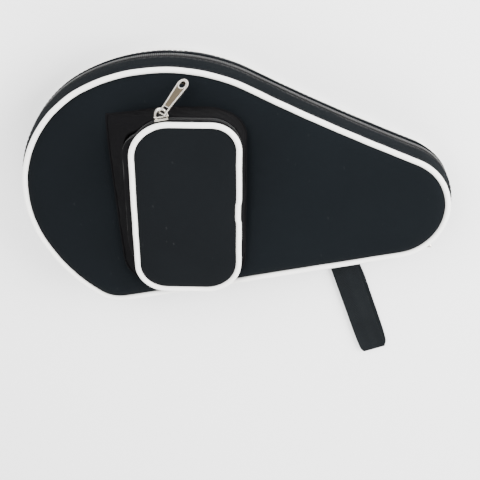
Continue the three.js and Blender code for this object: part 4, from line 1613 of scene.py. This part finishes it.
def set_lights():
    for name, place, size, power in LIGHTS:
        area_light(name, place, LIGHT_TARGET, size, power)
    world = bpy.data.worlds.new("Studio")
    world.use_nodes = True
    world.node_tree.nodes["Background"].inputs["Color"].default_value = (1, 1, 1, 1)
    world.node_tree.nodes["Background"].inputs["Strength"].default_value = WORLD_STRENGTH
    bpy.context.scene.world = world


def set_floor():
    floor = primitive(bpy.ops.mesh.primitive_plane_add, size=FLOOR_SIZE, location=(0, 0, FLOOR_HEIGHT))
    floor.name = "Floor"
    dress(floor, "floor")


# ---- Operators ----


class PaddleCaseStage(bpy.types.Operator):
    """Sets the camera, the floor and the lights"""

    bl_idname = "paddle_case.stage"
    bl_label = "Stage"

    def execute(self, context):
        set_camera()
        set_floor()
        set_lights()
        return {"FINISHED"}


class PaddleCasePanels(bpy.types.Operator):
    """Pads the front and back panels"""

    bl_idname = "paddle_case.panels"
    bl_label = "Panels"

    def execute(self, context):
        shell_panel("front", 1, "lid")
        shell_panel("back", -1, "root")
        return {"FINISHED"}


class PaddleCasePipings(bpy.types.Operator):
    """Sews the piping round the front and back panels"""

    bl_idname = "paddle_case.pipings"
    bl_label = "Pipings"

    def execute(self, context):
        for label, height, body in (("front", FRONT_SEAM, "lid"), ("back", BACK_SEAM, "root")):
            cord = piping(f"{label}_piping_cord", jointed_run(), height, 0.22 * MM)
            ride(cord, "piping", body, "piping", f"{label}_piping")
        return {"FINISHED"}


class PaddleCaseGussets(bpy.types.Operator):
    """Makes the cloth walls, their stitching, the seam bindings and the fabric hinge"""

    bl_idname = "paddle_case.gussets"
    bl_label = "Gussets"

    def execute(self, context):
        for side, label, body in ((-1, "rear", "root"), (1, "front", "lid")):
            gusset(side, label, body)
            binding(side, label, body)
        hinge_cloth()
        return {"FINISHED"}


class PaddleCaseZipper(bpy.types.Operator):
    """Makes both halves of the main zipper and finishes the end stops"""

    bl_idname = "paddle_case.zipper"
    bl_label = "Zipper"

    def execute(self, context):
        for side, label, body in ((-1, "rear", "root"), (1, "front", "lid")):
            zipper_half(side, label, body)
        for node in ("zipper_stop_tip", "zipper_stop_corner", "pocket_stop_left", "pocket_stop_right"):
            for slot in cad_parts[node].material_slots:
                slot.material = finish("nickel")
        return {"FINISHED"}


class PaddleCaseLinings(bpy.types.Operator):
    """Lines the inside of both panels"""

    bl_idname = "paddle_case.linings"
    bl_label = "Linings"

    def execute(self, context):
        loop = even(whole_run(), PAD_GRID).moved(-5.6 * MM)
        level = Matrix.Identity(4)
        for label, body in (("front", "lid"), ("back", "root")):
            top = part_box(f"{label}_lining")[1].z - 0.1 * MM
            name = f"{label}_lining_cloth"
            thin_lining(name, loop, case_line(), top, level, f"{label}_lining", body)
        return {"FINISHED"}


class PaddleCasePocket(bpy.types.Operator):
    """Makes the raised pocket: its folded side, padded face, strip, piping and zipper"""

    bl_idname = "paddle_case.pocket"
    bl_label = "Pocket"

    def execute(self, context):
        pocket_wall()
        pocket_front()
        pocket_zipper()
        pocket_hinge_cloth()
        return {"FINISHED"}


class PaddleCaseSliders(bpy.types.Operator):
    """Makes both zipper sliders and hangs a pull on each"""

    bl_idname = "paddle_case.sliders"
    bl_label = "Sliders and pulls"

    def execute(self, context):
        pocket = pocket_slider_frame()
        slider("pocket", pocket, "pocket_slider", SLIDER_HALF_WIDTH)
        at = pocket @ crown_point(0.25, 0)
        pull_tab("pocket_pull_plate", tab_matrix(at, POCKET_PULL_DIRECTION, POCKET_PULL_TWIST), "pocket_pull")
        main_place = main_slider_frame()
        slider("main", main_place, "main_slider", 0.0)
        at = main_place @ crown_point(0.5, -SLIDER_HALF_WIDTH / 2)
        pull_tab("main_pull_plate", tab_matrix(at, MAIN_PULL_DIRECTION, MAIN_PULL_TWIST), "main_pull")
        return {"FINISHED"}


class PaddleCaseStrap(bpy.types.Operator):
    """Makes the wrist strap, its sewn neck and its bar of stitches"""

    bl_idname = "paddle_case.strap"
    bl_label = "Wrist strap"

    def execute(self, context):
        wrist_strap()
        return {"FINISHED"}


OPERATORS = (
    PaddleCaseStage,
    PaddleCasePanels,
    PaddleCasePipings,
    PaddleCaseGussets,
    PaddleCaseZipper,
    PaddleCaseLinings,
    PaddleCasePocket,
    PaddleCaseSliders,
    PaddleCaseStrap,
)


class PaddleCasePanel(bpy.types.Panel):
    """Lists the case's operators in the sidebar"""

    bl_idname = "VIEW3D_PT_paddle_case"
    bl_label = "Paddle Case"
    bl_space_type = "VIEW_3D"
    bl_region_type = "UI"
    bl_category = "Paddle Case"

    def draw(self, context):
        for operator in OPERATORS:
            self.layout.operator(operator.bl_idname)


SETTINGS = {
    "paddle_case_shape": PaddleCaseShape,
    "paddle_case_trim": PaddleCaseTrim,
    "paddle_case_colours": PaddleCaseColours,
}


def register():
    for kind in (*SETTINGS.values(), *OPERATORS, PaddleCasePanel):
        bpy.utils.register_class(kind)
    for name, kind in SETTINGS.items():
        setattr(bpy.types.Scene, name, bpy.props.PointerProperty(type=kind))


def unregister():
    for name in SETTINGS:
        delattr(bpy.types.Scene, name)
    for kind in reversed((*SETTINGS.values(), *OPERATORS, PaddleCasePanel)):
        bpy.utils.unregister_class(kind)


def main():
    register()
    for operator in OPERATORS:
        family, name = operator.bl_idname.split(".")
        getattr(getattr(bpy.ops, family), name)()


if __name__ == "__main__":
    main()
